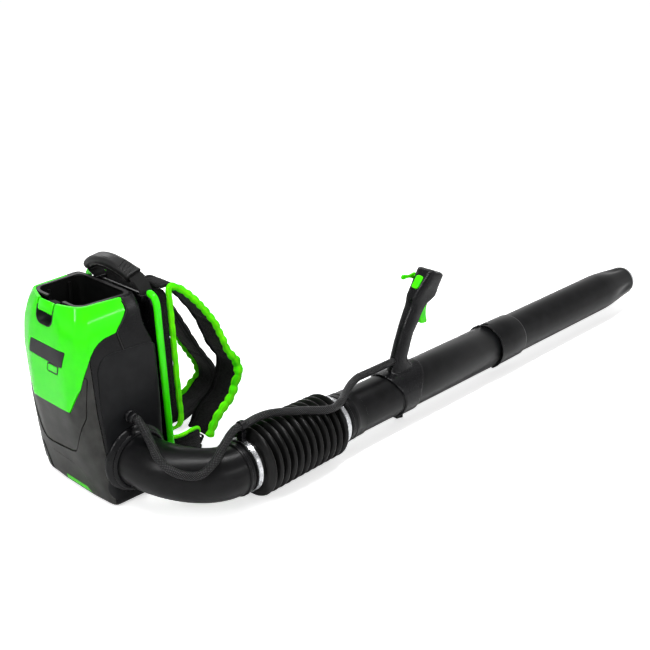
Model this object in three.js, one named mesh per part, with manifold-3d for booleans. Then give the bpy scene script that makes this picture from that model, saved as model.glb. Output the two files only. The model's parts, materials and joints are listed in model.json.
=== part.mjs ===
// Backpack leaf blower: a blower housing on a harness frame, a swivelling outlet elbow,
// a bellows hose and a straight tube line with a sliding control handle and a nozzle.
// Millimetres. +X is the wearer's forward direction, +Y the wearer's left, +Z is up.
// The origin lies on the ground under the housing.
import * as THREE from 'three';
import { mergeVertices } from 'three/addons/utils/BufferGeometryUtils.js';
import Module from 'manifold-3d';

// ---- clearances and shared details ----
const SEAM = 0.3; // gap kept where two pieces touch
const RUNNING = 0.35; // radial gap of a turning or sliding fit
const OVERCUT = 5; // how far a cutting body runs past the face that it opens
const ROUND = 28; // sides of the large round pieces
const INNER_ROUND = 24; // sides of the round pieces inside the housing
const SMALL_ROUND = 16; // sides of pins, bosses and buttons
const FLAT_SHARE = Math.cos(Math.PI / ROUND); // how far out a large round piece's flats lie, of its corners

// ---- housing ----
const SHELL_WALL = 3;
const BASE_HALF_WIDTH = 124;
const BELLY_REAR_X = -141;
const LEFT_REACH = 7; // how much further out the left side stands than the right
const FRONT_X = 32;
const NECK_FRONT_X = 13;
const RIM_Z = 432;
const RIM_REAR_X = -119;
const RIM_FRONT_X = 8;
const RIM_REAR_HALF = 69;
const RIM_FRONT_HALF = 93.5;
const RIM_THICKNESS = 3;
const REAR_CROWN = 15; // how far the middle of the rear face stands behind its edges, at the rim
const RIM_CROWN_HALF = 33; // half width of that middle facet at the rim
const CREASE_Z = 376;
const SPLIT_Y = -6; // the shells meet a little to the right of the middle

// ---- battery bay and latch ----
const BAY_WALL = 2.5;
const BAY_FLOOR_Z = 238;
const BAY_INSET = 7;
const BAY_SLOT_RADIUS = 6; // hole in the tub's front wall for the terminal leads
const LATCH_WIDTH = 49;
const SCOOP_HALF = 29;
const SCOOP_BOTTOM_Z = 384;
const SCOOP_CORNER = 18;
const POCKET_WALL = 2.2;
const POCKET_BACK_X = -113.5;
const LATCH_PIN_RADIUS = 1.5;
const LATCH_PIN_X = -123;
const LATCH_PIN_Z = 404;
const TERMINAL_HEIGHT = 20;
const TERMINAL_WIDTH = 56;
const TERMINAL_DEPTH = 26;
const TERMINAL_RIBS = 5;

// ---- fan and motor ----
const OUTLET_X = -41;
const OUTLET_Z = 98;
const DUCT_HALF_HEIGHT = 49;
const VOLUTE_HALF_DEPTH = 40;
const VOLUTE_WALL = 2.5;
const VOLUTE_BOSS_RADIUS = 6;
const DUCT_SHORTFALL = 6; // gap between the duct's mouth and the sloping side of the housing
const SCROLL_SIDE_GAP = 7; // room between the scroll and the left side of the housing
const SCROLL_TOP_GAP = 2.5; // room between the scroll and the battery tub
const FAN_Y = BASE_HALF_WIDTH * 0.18;
const FAN_Z = 150;
const SCROLL_START_RADIUS = BASE_HALF_WIDTH * 0.6;
const IMPELLER_RADIUS = SCROLL_START_RADIUS - 10;
const IMPELLER_EYE = 42;
const IMPELLER_DEPTH = 34;
const IMPELLER_PLATE = 2.5;
const IMPELLER_BLADES = 8;
const HUB_RADIUS = 12;
const SHAFT_RADIUS = 4;
const BEARING_RADIUS = 11;
const BEARING_WIDTH = 7;
const SHAFT_FRONT = 32; // how far the shaft reaches into the scroll
const MOTOR_RADIUS = 33;
const MOTOR_LENGTH = 36;
const MOTOR_WALL = 2;
const MOTOR_FLANGE_RADIUS = 40;
const ROTOR_RADIUS = 18;
const AIR_GAP = 0.8;
const GRILLE_RADIUS = 56;
const GRILLE_BARS = 5;
const CONTROLLER_SIZE = { x: 66, y: 46, z: 26 };
const CONTROLLER_SETBACK = 6; // from the duct's mouth
const FIN_HEIGHT = 8;
const FIN_COUNT = 6;

// ---- outlet collar, elbow, bellows and tube line ----
const COLLAR_BASE_RADIUS = 72;
const COLLAR_RIM_RADIUS = 61;
const COLLAR_LENGTH = 18;
const COLLAR_BORE = COLLAR_RIM_RADIUS - 4;
const BELLOWS_RADIUS = 77;
const BELLOWS_END_RADIUS = 72.5;
const BELLOWS_VALLEY = 11; // how deep a fold is
const BELLOWS_BORE = 60;
const BELLOWS_RIBS = 12;
const BELLOWS_X0 = 126;
const BELLOWS_X1 = 362;
const CUFF_LENGTH = 22;
const CUFF_WALL = 3;
const TUBE_Y = -276;
const TUBE_Z = BELLOWS_RADIUS; // the folds rest on the ground
const ELBOW_RADIUS = 55;
const ELBOW_WALL = 3;
const ELBOW_END_X = 84;
const ELBOW_INLET_DROP = 72; // straight pull of the inlet end's curve
const ELBOW_OUTLET_PULL = 64;
const ELBOW_STEPS = 9; // rings round the bend
const SPIGOT_RADIUS = 52.3;
const CLAMP_WIDTH = 11;
const CLAMP_THICKNESS = 1.2;
const CONNECTOR_END_X = 436;
const REAR_TUBE_RADIUS = 52.5;
const MIDDLE_TUBE_RADIUS = 53.2;
const TUBE_WALL = 2.2;
const TUBE_JOIN_X = 560;
const JOIN_SPIGOT = 28;
const SOCKET_DEPTH = 26;
const SLEEVE_X = 939;
const SLEEVE_LENGTH = 106;
const SLEEVE_RADIUS = 56.5;
const SLEEVE_ENGAGEMENT = 46;
const NOZZLE_RADIUS = 52;
const TAPER_X = 1470;
const NOZZLE_END_X = 1612;
const NOZZLE_END_RADIUS = 41;
const FLUTE_DEPTH = 5;
const FLUTES = 4;
const WEAR_RING_STANDOUT = 10;
const LUG_HEIGHT = 3.2;
const LUG_LENGTH = 12;
const LUG_WIDTH = 9;
const LUG_X = 946;
const TWIST_ANGLE = 20;

// ---- control handle ----
const HANDLE_RING_RADIUS = 57;
const HEAD_HALF_WIDTH = 25;
const HANDLE_RING_X0 = 566;
const HANDLE_RING_X1 = 618;
const RING_REAR_SLANT = 0.49; // the ring's edges reach further back and forward over the top
const RING_FRONT_SLANT = 0.8;
const TRIGGER_WIDTH = 17;
const TRIGGER_PIVOT = { x: 674, z: 208 };
const TRIGGER_PIN_RADIUS = 2;
const TRIGGER_HUB = 7;
const BUTTON_LENGTH = 33;
const BUTTON_WIDTH = 19;
const BUTTON_THICKNESS = 6;
const BUTTON_STANDOUT = 2.5;
const BUTTON_TRAVEL = 2;
const LEVER_PIVOT = { x: 678, z: 256 };
const LEVER_TIP = { x: 640, z: 262 };
const LEVER_HUB = 8;
const LEVER_THICKNESS = 4.5;
const LEVER_WIDTH = 8;
const KNOB_X = 600;
const KNOB_RADIUS = 14;
const KNOB_HEIGHT = 11;
const KNOB_BOSS = 9;
const KNOB_STUD = 3;
const CABLE_POCKET_X0 = 540; // room in the ring for the cable's upper end
const CABLE_POCKET_X1 = 586;

// ---- control cable ----
const CABLE_RADIUS = 9;
const CABLE_SIDES = 10;
const GLAND_RADIUS = 14;
const GLAND_LENGTH = 19;
const GLAND_X = -47;
const GLAND_Z = 194;
const CABLE_SEAT_Z = 79; // height of the cable's entry above the tube's axis
const CLIP_X = 112;
const CLIP_HEIGHT = 90; // of the cable above the tube's axis
const CABLE_JOIN = 1; // gap between the lengths of cable
const CABLE_JOIN_X = 480; // where the cable's middle length ends

// ---- harness ----
const FRAME_TOP_Z = 418;
const FRAME_TOP_X = 38;
const FRAME_LEAN = 18; // how far forward the frame's foot stands of its top
const FRAME_THICKNESS = 4.5;
const FRAME_HALF_WIDTH = BASE_HALF_WIDTH - 16;
const FRAME_CORNER = 20;
const MOUNT_RADIUS = 9;
const EDGING_RADIUS = 7.5;
const PAD_BOTTOM_Z = 112;
const PAD_TOP_Z = 424;
const PAD_HALF_WIDTH = FRAME_HALF_WIDTH - 5;
const PAD_SIDE = 40;
const PAD_CROWN = 9;
const PAD_CHANNEL = 6;
const PAD_DRAW_IN = 4;
const PAD_REBATE = 22; // room behind the pad's top edge for the carry strap's feet
const STRAP_WIDTH = 68;
const STRAP_THICKNESS = 12;
const STRAP_CENTRE_Y = FRAME_HALF_WIDTH - 38;
const WEBBING_WIDTH = 25;
const WEBBING_THICKNESS = 2;
const BUCKLE_LENGTH = 22;
const BUCKLE_WIDTH = 36;
const BUCKLE_THICKNESS = 5;
const HIP_THICKNESS = 10;
const HIP_BOTTOM_Z = 22;
const HIP_TOP_Z = 92;
const CARRY_STRAP_WIDTH = 30;
const CARRY_STRAP_THICKNESS = 3;
const CARRY_GRIP_WIDTH = 38;
const CARRY_GRIP_THICKNESS = 22;
const CARRY_FOOT_Y = FRAME_HALF_WIDTH - 29;
const CARRY_RISE = 52; // of the carry strap above the frame
const CARRY_LEAN = 15; // of its top towards the rear
const ANCHOR_X = FRAME_TOP_X + 5;

// ---- solids: closed geometry in, closed geometry out ----
const wasm = await Module();
wasm.setup();

// drops collapsed triangles, welds the corners and turns the faces outward
function toSolid(geometry) {
  const bare = geometry.clone();
  bare.deleteAttribute('normal');
  bare.deleteAttribute('uv');
  const welded = mergeVertices(bare, 1e-4);
  const index = Array.from(welded.index.array);
  const corner = (i) => new THREE.Vector3().fromBufferAttribute(welded.attributes.position, i);
  const kept = [];
  let volume = 0;
  for (let i = 0; i < index.length; i += 3) {
    const [a, b, c] = index.slice(i, i + 3);
    if (a === b || b === c || c === a) continue;
    kept.push(a, b, c);
    volume += corner(a).dot(corner(b).cross(corner(c)));
  }
  if (volume < 0) kept.reverse();
  const mesh = new wasm.Mesh({
    numProp: 3,
    vertProperties: new Float32Array(welded.attributes.position.array),
    triVerts: new Uint32Array(kept),
  });
  return new wasm.Manifold(mesh);
}

function toGeometry(solid) {
  const mesh = solid.getMesh();
  const geometry = new THREE.BufferGeometry();
  geometry.setAttribute('position', new THREE.BufferAttribute(new Float32Array(mesh.vertProperties), 3));
  geometry.setIndex(new THREE.BufferAttribute(new Uint32Array(mesh.triVerts), 1));
  geometry.computeVertexNormals();
  return geometry;
}

// ---- outlines ----
function signedArea(points) {
  return points.reduce((sum, [x, y], i) => {
    const [nextX, nextY] = points[(i + 1) % points.length];
    return sum + (x * nextY - nextX * y) / 2;
  }, 0);
}

// moves every side of a closed outline outward by a distance
function grow(points, distance) {
  const turn = Math.sign(signedArea(points));
  const count = points.length;
  const normal = (i) => {
    const [x0, y0] = points[i];
    const [x1, y1] = points[(i + 1) % count];
    const length = Math.hypot(x1 - x0, y1 - y0);
    return [(turn * (y1 - y0)) / length, (-turn * (x1 - x0)) / length];
  };
  return points.map(([x, y], i) => {
    const [ax, ay] = normal((i + count - 1) % count);
    const [bx, by] = normal(i);
    const reach = distance / (1 + ax * bx + ay * by);
    return [x + (ax + bx) * reach, y + (ay + by) * reach];
  });
}

const shapeOf = (points) => new THREE.Shape(points.map(([a, b]) => new THREE.Vector2(a, b)));

function smoothCurve(points, samples) {
  const corners = points.map(([a, b]) => new THREE.Vector3(a, b, 0));
  const curve = new THREE.CatmullRomCurve3(corners, false, 'centripetal');
  return curve.getPoints(samples).map((p) => [p.x, p.y]);
}

// closed outline of a band that follows a line of points
function bandOutline(points, thickness, samples) {
  const line = smoothCurve(points, samples);
  const sides = line.map(([x, y], i) => {
    const [x0, y0] = line[Math.max(i - 1, 0)];
    const [x1, y1] = line[Math.min(i + 1, line.length - 1)];
    const length = Math.hypot(x1 - x0, y1 - y0);
    const nx = (-(y1 - y0) / length) * (thickness / 2);
    const ny = ((x1 - x0) / length) * (thickness / 2);
    return { left: [x + nx, y + ny], right: [x - nx, y - ny] };
  });
  return [...sides.map((s) => s.left), ...sides.map((s) => s.right).reverse()];
}

// ---- basic bodies ----
function extrude(points, depth) {
  return new THREE.ExtrudeGeometry(shapeOf(points), { depth, bevelEnabled: false });
}

// outline in X and Z, from y0 to y1
function prismY(points, y0, y1) {
  const geometry = extrude(points, y1 - y0).rotateX(Math.PI / 2).translate(0, y1, 0);
  return toSolid(geometry);
}

// outline in Y and Z, from x0 to x1
function prismX(points, x0, x1) {
  const turn = new THREE.Matrix4().makeBasis(
    new THREE.Vector3(0, 1, 0),
    new THREE.Vector3(0, 0, 1),
    new THREE.Vector3(1, 0, 0),
  );
  return toSolid(extrude(points, x1 - x0).applyMatrix4(turn).translate(x0, 0, 0));
}

// outline in X and Y, from z0 to z1
function prismZ(points, z0, z1) {
  return toSolid(extrude(points, z1 - z0).translate(0, 0, z0));
}

function block(x0, x1, y0, y1, z0, z1) {
  const geometry = new THREE.BoxGeometry(x1 - x0, y1 - y0, z1 - z0);
  return toSolid(geometry.translate((x0 + x1) / 2, (y0 + y1) / 2, (z0 + z1) / 2));
}

const AXIS_TURN = {
  x: (geometry) => geometry.rotateZ(-Math.PI / 2),
  y: (geometry) => geometry,
  z: (geometry) => geometry.rotateX(Math.PI / 2),
};

// round bar along an axis, from one station to the other, through a centre in the other two axes
function rod(axis, radius, from, to, centre, sides = SMALL_ROUND) {
  const geometry = AXIS_TURN[axis](new THREE.CylinderGeometry(radius, radius, to - from, sides));
  const middle = (from + to) / 2;
  const [a, b] = centre;
  const place = { x: [middle, a, b], y: [a, middle, b], z: [a, b, middle] }[axis];
  return toSolid(geometry.translate(...place));
}

// body of revolution about X from closed (radius, station) points
function turned(profile, sides = ROUND) {
  const closed = [...profile, profile[0]].map(([r, x]) => new THREE.Vector2(r, x));
  return toSolid(new THREE.LatheGeometry(closed, sides).rotateZ(-Math.PI / 2));
}

function tube(outer, inner, x0, x1, sides = ROUND) {
  return turned([[outer, x0], [outer, x1], [inner, x1], [inner, x0]], sides);
}

// closed skin over rings that all have the same number of corners
function loft(rings) {
  const count = rings[0].length;
  const positions = rings.flat().flat();
  const index = [];
  for (let i = 0; i + 1 < rings.length; i += 1) {
    for (let j = 0; j < count; j += 1) {
      const a = i * count + j;
      const b = i * count + ((j + 1) % count);
      index.push(a, b, b + count, a, b + count, a + count);
    }
  }
  const last = (rings.length - 1) * count;
  for (let j = 1; j + 1 < count; j += 1) {
    index.push(0, j + 1, j, last, last + j, last + j + 1);
  }
  const geometry = new THREE.BufferGeometry();
  geometry.setAttribute('position', new THREE.Float32BufferAttribute(positions, 3));
  geometry.setIndex(index);
  return toSolid(geometry);
}

// ring of a given radius about the X axis, whose radius may vary round it
function ringX(x, radiusAt, sides = ROUND) {
  return Array.from({ length: sides }, (_, i) => {
    const angle = (i / sides) * 2 * Math.PI;
    const radius = radiusAt(angle);
    return [x, Math.cos(angle) * radius, Math.sin(angle) * radius];
  });
}

// section carried along a line of points, kept level by a sideways hint
function sweep(points, section, side, samples) {
  const curve = new THREE.CatmullRomCurve3(points.map((p) => new THREE.Vector3(...p)), false, 'centripetal');
  const hint = new THREE.Vector3(...side);
  const rings = Array.from({ length: samples + 1 }, (_, i) => {
    const at = i / samples;
    const centre = curve.getPoint(at);
    const forward = curve.getTangent(at);
    const across = hint.clone().addScaledVector(forward, -hint.dot(forward)).normalize();
    const up = forward.clone().cross(across);
    const corner = ([a, b]) => centre.clone().addScaledVector(across, a).addScaledVector(up, b);
    return section.map((place) => corner(place).toArray());
  });
  return loft(rings);
}

function roundSection(radius, sides) {
  return Array.from({ length: sides }, (_, i) => {
    const angle = (i / sides) * 2 * Math.PI;
    return [Math.cos(angle) * radius, Math.sin(angle) * radius];
  });
}

function softSection(width, thickness) {
  const cut = thickness * 0.3;
  const half = width / 2;
  const rise = thickness / 2;
  return [
    [half, rise - cut], [half - cut, rise], [cut - half, rise], [-half, rise - cut],
    [-half, cut - rise], [cut - half, -rise], [half - cut, -rise], [half, cut - rise],
  ];
}

// round cord through hand-chosen points
function cord(points, steps) {
  const curve = new THREE.CatmullRomCurve3(points.map((p) => new THREE.Vector3(...p)), false, 'centripetal');
  const section = shapeOf(roundSection(CABLE_RADIUS, CABLE_SIDES));
  return toSolid(new THREE.ExtrudeGeometry(section, { steps, extrudePath: curve, bevelEnabled: false }));
}

// ---- materials ----
const finish = (color, roughness, metalness = 0) => () =>
  new THREE.MeshStandardMaterial({ color, roughness, metalness });
const greenGloss = finish(0x35f000, 0.25);
const greenFabric = finish(0x46e800, 0.85);
const blackPlastic = finish(0x17181a, 0.5);
const charcoalPlastic = finish(0x33363a, 0.55);
const greyPlastic = finish(0x6c6a6b, 0.6);
const blackRubber = finish(0x101112, 0.7);
const blackFabric = finish(0x141415, 0.95);
const polishedSteel = finish(0xd8dadc, 0.2, 1);
const darkSteel = finish(0x75777a, 0.4, 1);
const copper = finish(0xb06a3a, 0.4, 1);
const greenBoard = finish(0x1d5a34, 0.6);

const part = new THREE.Group();

function add(group, name, solid, material) {
  const mesh = new THREE.Mesh(toGeometry(solid), material());
  mesh.name = name;
  group.add(mesh);
}

// ---- housing: one lofted form, cut into its shells ----
// each level as shares: height of the rim's, half widths of the base's, depths of the belly's;
// rear is the rear face's edge, crown how far its middle facet stands behind that, side its widest line
const LEVEL_SHARES = [
  { z: 0, rear: 0.709, rearHalf: 0.903, crown: 0.3, crownHalf: 0.4, side: 0.652, half: 1, frontHalf: 1 },
  { z: 0.255, rear: 0.879, rearHalf: 0.79, crown: 0.45, crownHalf: 0.45, side: 0.766, half: 1, frontHalf: 1 },
  { z: 0.5, rear: 0.993, rearHalf: 0.685, crown: 0.6, crownHalf: 0.47, side: 0.823, half: 0.927, frontHalf: 1 },
  { z: 0.755, rear: 1, rearHalf: 0.726, crown: 0.65, crownHalf: 0.46, side: 0.851, half: 0.895, frontHalf: 0.96 },
  { z: 0.87, rear: 0.965, rearHalf: 0.718, crown: 0.75, crownHalf: 0.4, side: 0.823, half: 0.847,
    frontHalf: 0.895 },
  { z: 0.954, rear: 0.908, rearHalf: 0.645, crown: 0.87, crownHalf: 0.33, side: 0.787, half: 0.782,
    frontHalf: 0.83 },
];
const RIM_LEVEL = {
  z: RIM_Z, rearX: RIM_REAR_X, rearHalf: RIM_REAR_HALF, crownX: RIM_REAR_X - REAR_CROWN, crownHalf: RIM_CROWN_HALF,
  sideX: RIM_REAR_X * 0.908, sideHalf: RIM_FRONT_HALF * 0.866, frontHalf: RIM_FRONT_HALF, frontX: RIM_FRONT_X,
};
const HOUSING_LEVELS = [
  ...LEVEL_SHARES.map((share) => ({
    z: share.z * RIM_Z,
    rearX: share.rear * BELLY_REAR_X,
    rearHalf: share.rearHalf * BASE_HALF_WIDTH,
    crownX: share.rear * BELLY_REAR_X - share.crown * REAR_CROWN,
    crownHalf: share.crownHalf * BASE_HALF_WIDTH,
    sideX: share.side * BELLY_REAR_X,
    sideHalf: share.half * BASE_HALF_WIDTH,
    frontHalf: share.frontHalf * BASE_HALF_WIDTH,
    frontX: share.z < CREASE_Z / RIM_Z - 0.01 ? FRONT_X : NECK_FRONT_X,
  })),
  RIM_LEVEL,
];

function flatOutline({ rearX, rearHalf, sideX, sideHalf, frontHalf, frontX }) {
  return [
    [rearX, rearHalf], [rearX, -rearHalf], [sideX, -sideHalf],
    [frontX, -frontHalf], [frontX, frontHalf + LEFT_REACH], [sideX, sideHalf + LEFT_REACH],
  ];
}

function levelOutline(level) {
  const { crownX, crownHalf } = level;
  const [rearLeft, rearRight, ...rest] = flatOutline(level);
  return [rearLeft, [crownX, crownHalf], [crownX, -crownHalf], rearRight, ...rest];
}

// the housing's outer form, grown or shrunk all round, between two heights
function housingForm(growth, bottomZ, topZ) {
  const levels = HOUSING_LEVELS.map((level, i) => {
    const isEnd = i === 0 || i === HOUSING_LEVELS.length - 1;
    const z = isEnd ? (i === 0 ? bottomZ : topZ) : level.z;
    return grow(levelOutline(level), growth).map(([x, y]) => [x, y, z]);
  });
  return loft(levels);
}

// regions of the housing's skin, seen from the side and from behind, as shares of its depth, width and height
const FAR = 400;
const fromSide = (outline) => outline.map(([depth, height]) => [depth * BELLY_REAR_X, height * RIM_Z]);
const fromRear = (outline) => outline.map(([width, height]) => [width * BASE_HALF_WIDTH, height * RIM_Z]);
const COVER_SIDE = fromSide([
  [3, 0.5], [0.986, 0.5], [0.972, 0.567], [0.936, 0.646], [0.894, 0.715], [0.837, 0.787],
  [0.745, 0.829], [0.603, 0.852], [0.426, 0.861], [0.34, 0.894], [0.191, 0.944], [0.199, 2], [3, 2],
]);
const COVER_REAR = fromRear([
  [-0.516, 0.5], [0.516, 0.5], [0.694, 0.6], [1.048, 0.766], [1.048, 2], [-1.048, 2], [-1.048, 0.766],
  [-0.694, 0.6],
]);
const REAR_COVER_SIDE = fromSide([
  [3, -0.02], [0.645, -0.02], [0.759, 0.255], [0.816, 0.5], [0.844, 0.755], [0.837, 0.8], [3, 0.8],
]);

function coverRegion(growth) {
  const sideOn = prismY(grow(COVER_SIDE, growth), -FAR, FAR);
  return sideOn.intersect(prismX(grow(COVER_REAR, growth), -FAR, FAR));
}

const rearRegion = (growth) => prismY(grow(REAR_COVER_SIDE, growth), -FAR, FAR);

const RIM_BOTTOM_Z = RIM_Z - RIM_THICKNESS;

// U-shaped finger scoop round the latch, as an outline in Y and Z
function scoopOutline(inset) {
  const half = SCOOP_HALF - inset;
  const bottom = SCOOP_BOTTOM_Z + inset;
  const corner = SCOOP_CORNER - inset;
  const arc = (sign) => Array.from({ length: 6 }, (_, i) => {
    const angle = (i / 5) * (Math.PI / 2);
    return [sign * (half - corner + corner * Math.cos(angle)), bottom + corner - corner * Math.sin(angle)];
  });
  return [[half, RIM_Z + OVERCUT], ...arc(1), ...arc(-1).reverse(), [-half, RIM_Z + OVERCUT]];
}

function housingShell() {
  const above = block(-FAR, FAR, -FAR, FAR, RIM_BOTTOM_Z - SEAM, FAR * 2);
  const skin = housingForm(0, 0, RIM_Z).subtract(housingForm(-SHELL_WALL, SHELL_WALL, RIM_Z + OVERCUT));
  const outletHole = rod('y', COLLAR_BORE, -FAR, 0, [OUTLET_X, OUTLET_Z], ROUND);
  const intakeHole = rod('x', GRILLE_RADIUS + SEAM, 0, FAR, [FAN_Y, FAN_Z], INNER_ROUND);
  const cableHole = rod('y', CABLE_RADIUS - 2, -FAR, -BASE_HALF_WIDTH / 2, [GLAND_X, GLAND_Z]);
  return skin.subtract(above).subtract(outletHole).subtract(intakeHole).subtract(cableHole);
}

function addHousing(group) {
  const shell = housingShell();
  const scoop = prismX(scoopOutline(0), -FAR, POCKET_BACK_X + SEAM);
  add(group, 'top_cover', shell.intersect(coverRegion(0)).subtract(scoop), greenGloss);
  add(group, 'rear_cover', shell.intersect(rearRegion(0)).subtract(coverRegion(SEAM)), charcoalPlastic);
  const sides = shell.subtract(coverRegion(SEAM)).subtract(rearRegion(SEAM));
  const half = (y0, y1) => sides.intersect(block(-FAR, FAR, y0, y1, -OVERCUT, FAR * 2));
  add(group, 'right_shell', half(-FAR, SPLIT_Y - SEAM), blackPlastic);
  add(group, 'left_shell', half(SPLIT_Y, FAR), blackPlastic);
}

// ---- battery bay: a tub that hangs from the rim ----
const bayOutline = (inset) => grow(flatOutline(RIM_LEVEL), -inset);
const LATCH_HEAD_Z = RIM_Z - 10;

function batteryBay() {
  const rim = housingForm(0, 0, RIM_Z).intersect(block(-FAR, FAR, -FAR, FAR, RIM_BOTTOM_Z, RIM_Z));
  const tub = prismZ(bayOutline(BAY_INSET), BAY_FLOOR_Z - BAY_WALL, RIM_BOTTOM_Z + 1);
  const hollow = prismZ(bayOutline(BAY_INSET + BAY_WALL), BAY_FLOOR_Z, RIM_Z + OVERCUT);
  const notchHalf = LATCH_WIDTH / 2 + 2;
  const notch = block(-FAR, RIM_REAR_X + 20, -notchHalf, notchHalf, LATCH_HEAD_Z - 2, RIM_Z + OVERCUT);
  const leads = rod('x', BAY_SLOT_RADIUS, RIM_REAR_X / 2, FAR, [0, BAY_FLOOR_Z + 2 * BAY_SLOT_RADIUS]);
  return rim.add(tub).subtract(hollow).subtract(notch).subtract(leads);
}

function terminalBlock() {
  const floor = BAY_FLOOR_Z + SEAM;
  const x0 = RIM_REAR_X + 40;
  const half = TERMINAL_WIDTH / 2;
  const pitch = TERMINAL_WIDTH / TERMINAL_RIBS;
  let result = block(x0, x0 + TERMINAL_DEPTH, -half, half, floor, floor + TERMINAL_HEIGHT);
  for (let i = 1; i < TERMINAL_RIBS; i += 1) {
    const y = i * pitch - half;
    const slot = block(x0 - 1, x0 + TERMINAL_DEPTH * 0.6, y - 2, y + 2, floor + 5, floor + TERMINAL_HEIGHT + 1);
    result = result.subtract(slot);
  }
  return result;
}

function latchPocket() {
  const outer = prismX(scoopOutline(SEAM), -FAR, POCKET_BACK_X);
  const inner = prismX(scoopOutline(SEAM + POCKET_WALL), -FAR, POCKET_BACK_X - POCKET_WALL);
  const pinHole = rod('y', LATCH_PIN_RADIUS + RUNNING, -FAR, FAR, [LATCH_PIN_X, LATCH_PIN_Z]);
  const headRoom = block(-FAR, FAR, -FAR, FAR, LATCH_HEAD_Z - 2, FAR * 2);
  const flush = housingForm(0, 0, RIM_Z);
  return outer.subtract(inner).intersect(flush).subtract(pinHole).subtract(headRoom);
}

function batteryLatch() {
  const headTop = RIM_Z - 2;
  const outline = [
    [-118.7, 398], [-127, 398], [-137, LATCH_HEAD_Z - 2], [-136, headTop], [RIM_REAR_X + 12, headTop],
    [RIM_REAR_X + 12, LATCH_HEAD_Z], [-118.7, LATCH_HEAD_Z - 1.5],
  ];
  const body = prismY(outline, -LATCH_WIDTH / 2, LATCH_WIDTH / 2);
  return body.subtract(rod('y', LATCH_PIN_RADIUS + RUNNING, -FAR, FAR, [LATCH_PIN_X, LATCH_PIN_Z]));
}

function addBatteryBay(group) {
  add(group, 'battery_bay', batteryBay(), greyPlastic);
  add(group, 'terminal_block', terminalBlock(), blackPlastic);
  add(group, 'latch_pocket', latchPocket(), blackPlastic);
  add(group, 'battery_latch', batteryLatch(), greenGloss);
  const pinHalf = SCOOP_HALF - SEAM * 2;
  add(group, 'latch_pin', rod('y', LATCH_PIN_RADIUS, -pinHalf, pinHalf, [LATCH_PIN_X, LATCH_PIN_Z]), darkSteel);
}

// ---- fan: a scroll whose radius grows until it meets the outlet duct ----
const DUCT_BOTTOM_Z = OUTLET_Z - DUCT_HALF_HEIGHT;
const DUCT_END_Y = -(BASE_HALF_WIDTH - SHELL_WALL - DUCT_SHORTFALL);
const VOLUTE_REAR_X = OUTLET_X - VOLUTE_HALF_DEPTH;
const VOLUTE_FRONT_X = OUTLET_X + VOLUTE_HALF_DEPTH;
const MOTOR_FRONT_X = VOLUTE_REAR_X - SEAM;
const MOTOR_REAR_X = MOTOR_FRONT_X - MOTOR_LENGTH;

// the scroll's radius a quarter turn apart: at its start, under the battery tub, at the left side, at the bottom
const SCROLL_TOP_RADIUS = BAY_FLOOR_Z - BAY_WALL - SCROLL_TOP_GAP - FAN_Z;
const SCROLL_SIDE_RADIUS = BASE_HALF_WIDTH - SHELL_WALL - SCROLL_SIDE_GAP - FAN_Y;
const SCROLL_RADII = [SCROLL_START_RADIUS, SCROLL_TOP_RADIUS, SCROLL_SIDE_RADIUS, FAN_Z - DUCT_BOTTOM_Z];
const VOLUTE_BOSSES = [
  [DUCT_END_Y + 20, DUCT_BOTTOM_Z + 21],
  [FAN_Y - SCROLL_START_RADIUS * 0.66, FAN_Z + SCROLL_START_RADIUS * 0.76],
  [FAN_Y + SCROLL_SIDE_RADIUS * 0.72, FAN_Z - SCROLL_SIDE_RADIUS * 0.64],
];

function scrollOutline() {
  const quarterSteps = 6;
  const steps = quarterSteps * (SCROLL_RADII.length - 1);
  const spiral = Array.from({ length: steps + 1 }, (_, i) => {
    const angle = ((i / quarterSteps) * Math.PI) / 2;
    const quarter = Math.min(Math.floor(i / quarterSteps), SCROLL_RADII.length - 2);
    const share = i / quarterSteps - quarter;
    const radius = SCROLL_RADII[quarter] * (1 - share) + SCROLL_RADII[quarter + 1] * share;
    return [FAN_Y - radius * Math.cos(angle), FAN_Z + radius * Math.sin(angle)];
  });
  return [...spiral, [DUCT_END_Y, DUCT_BOTTOM_Z], [DUCT_END_Y, FAN_Z]];
}

function volute() {
  const outer = prismX(scrollOutline(), VOLUTE_REAR_X, VOLUTE_FRONT_X);
  const innerOutline = grow(scrollOutline(), -VOLUTE_WALL);
  const inner = prismX(innerOutline, VOLUTE_REAR_X + VOLUTE_WALL, VOLUTE_FRONT_X - VOLUTE_WALL);
  const mouth = block(
    VOLUTE_REAR_X + VOLUTE_WALL, VOLUTE_FRONT_X - VOLUTE_WALL, DUCT_END_Y - OVERCUT, DUCT_END_Y + OVERCUT,
    DUCT_BOTTOM_Z + VOLUTE_WALL, FAN_Z - VOLUTE_WALL,
  );
  const eye = rod('x', IMPELLER_EYE + 3, OUTLET_X, FAR, [FAN_Y, FAN_Z], INNER_ROUND);
  const motorHole = rod('x', BEARING_RADIUS + 6, -FAR, OUTLET_X, [FAN_Y, FAN_Z], INNER_ROUND);
  const bosses = VOLUTE_BOSSES.map((place) =>
    rod('x', VOLUTE_BOSS_RADIUS, VOLUTE_FRONT_X - 1, FRONT_X - SHELL_WALL - SEAM, place, 12));
  const hollow = outer.subtract(inner).subtract(mouth).subtract(eye).subtract(motorHole);
  return bosses.reduce((solid, boss) => solid.add(boss), hollow);
}

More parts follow.
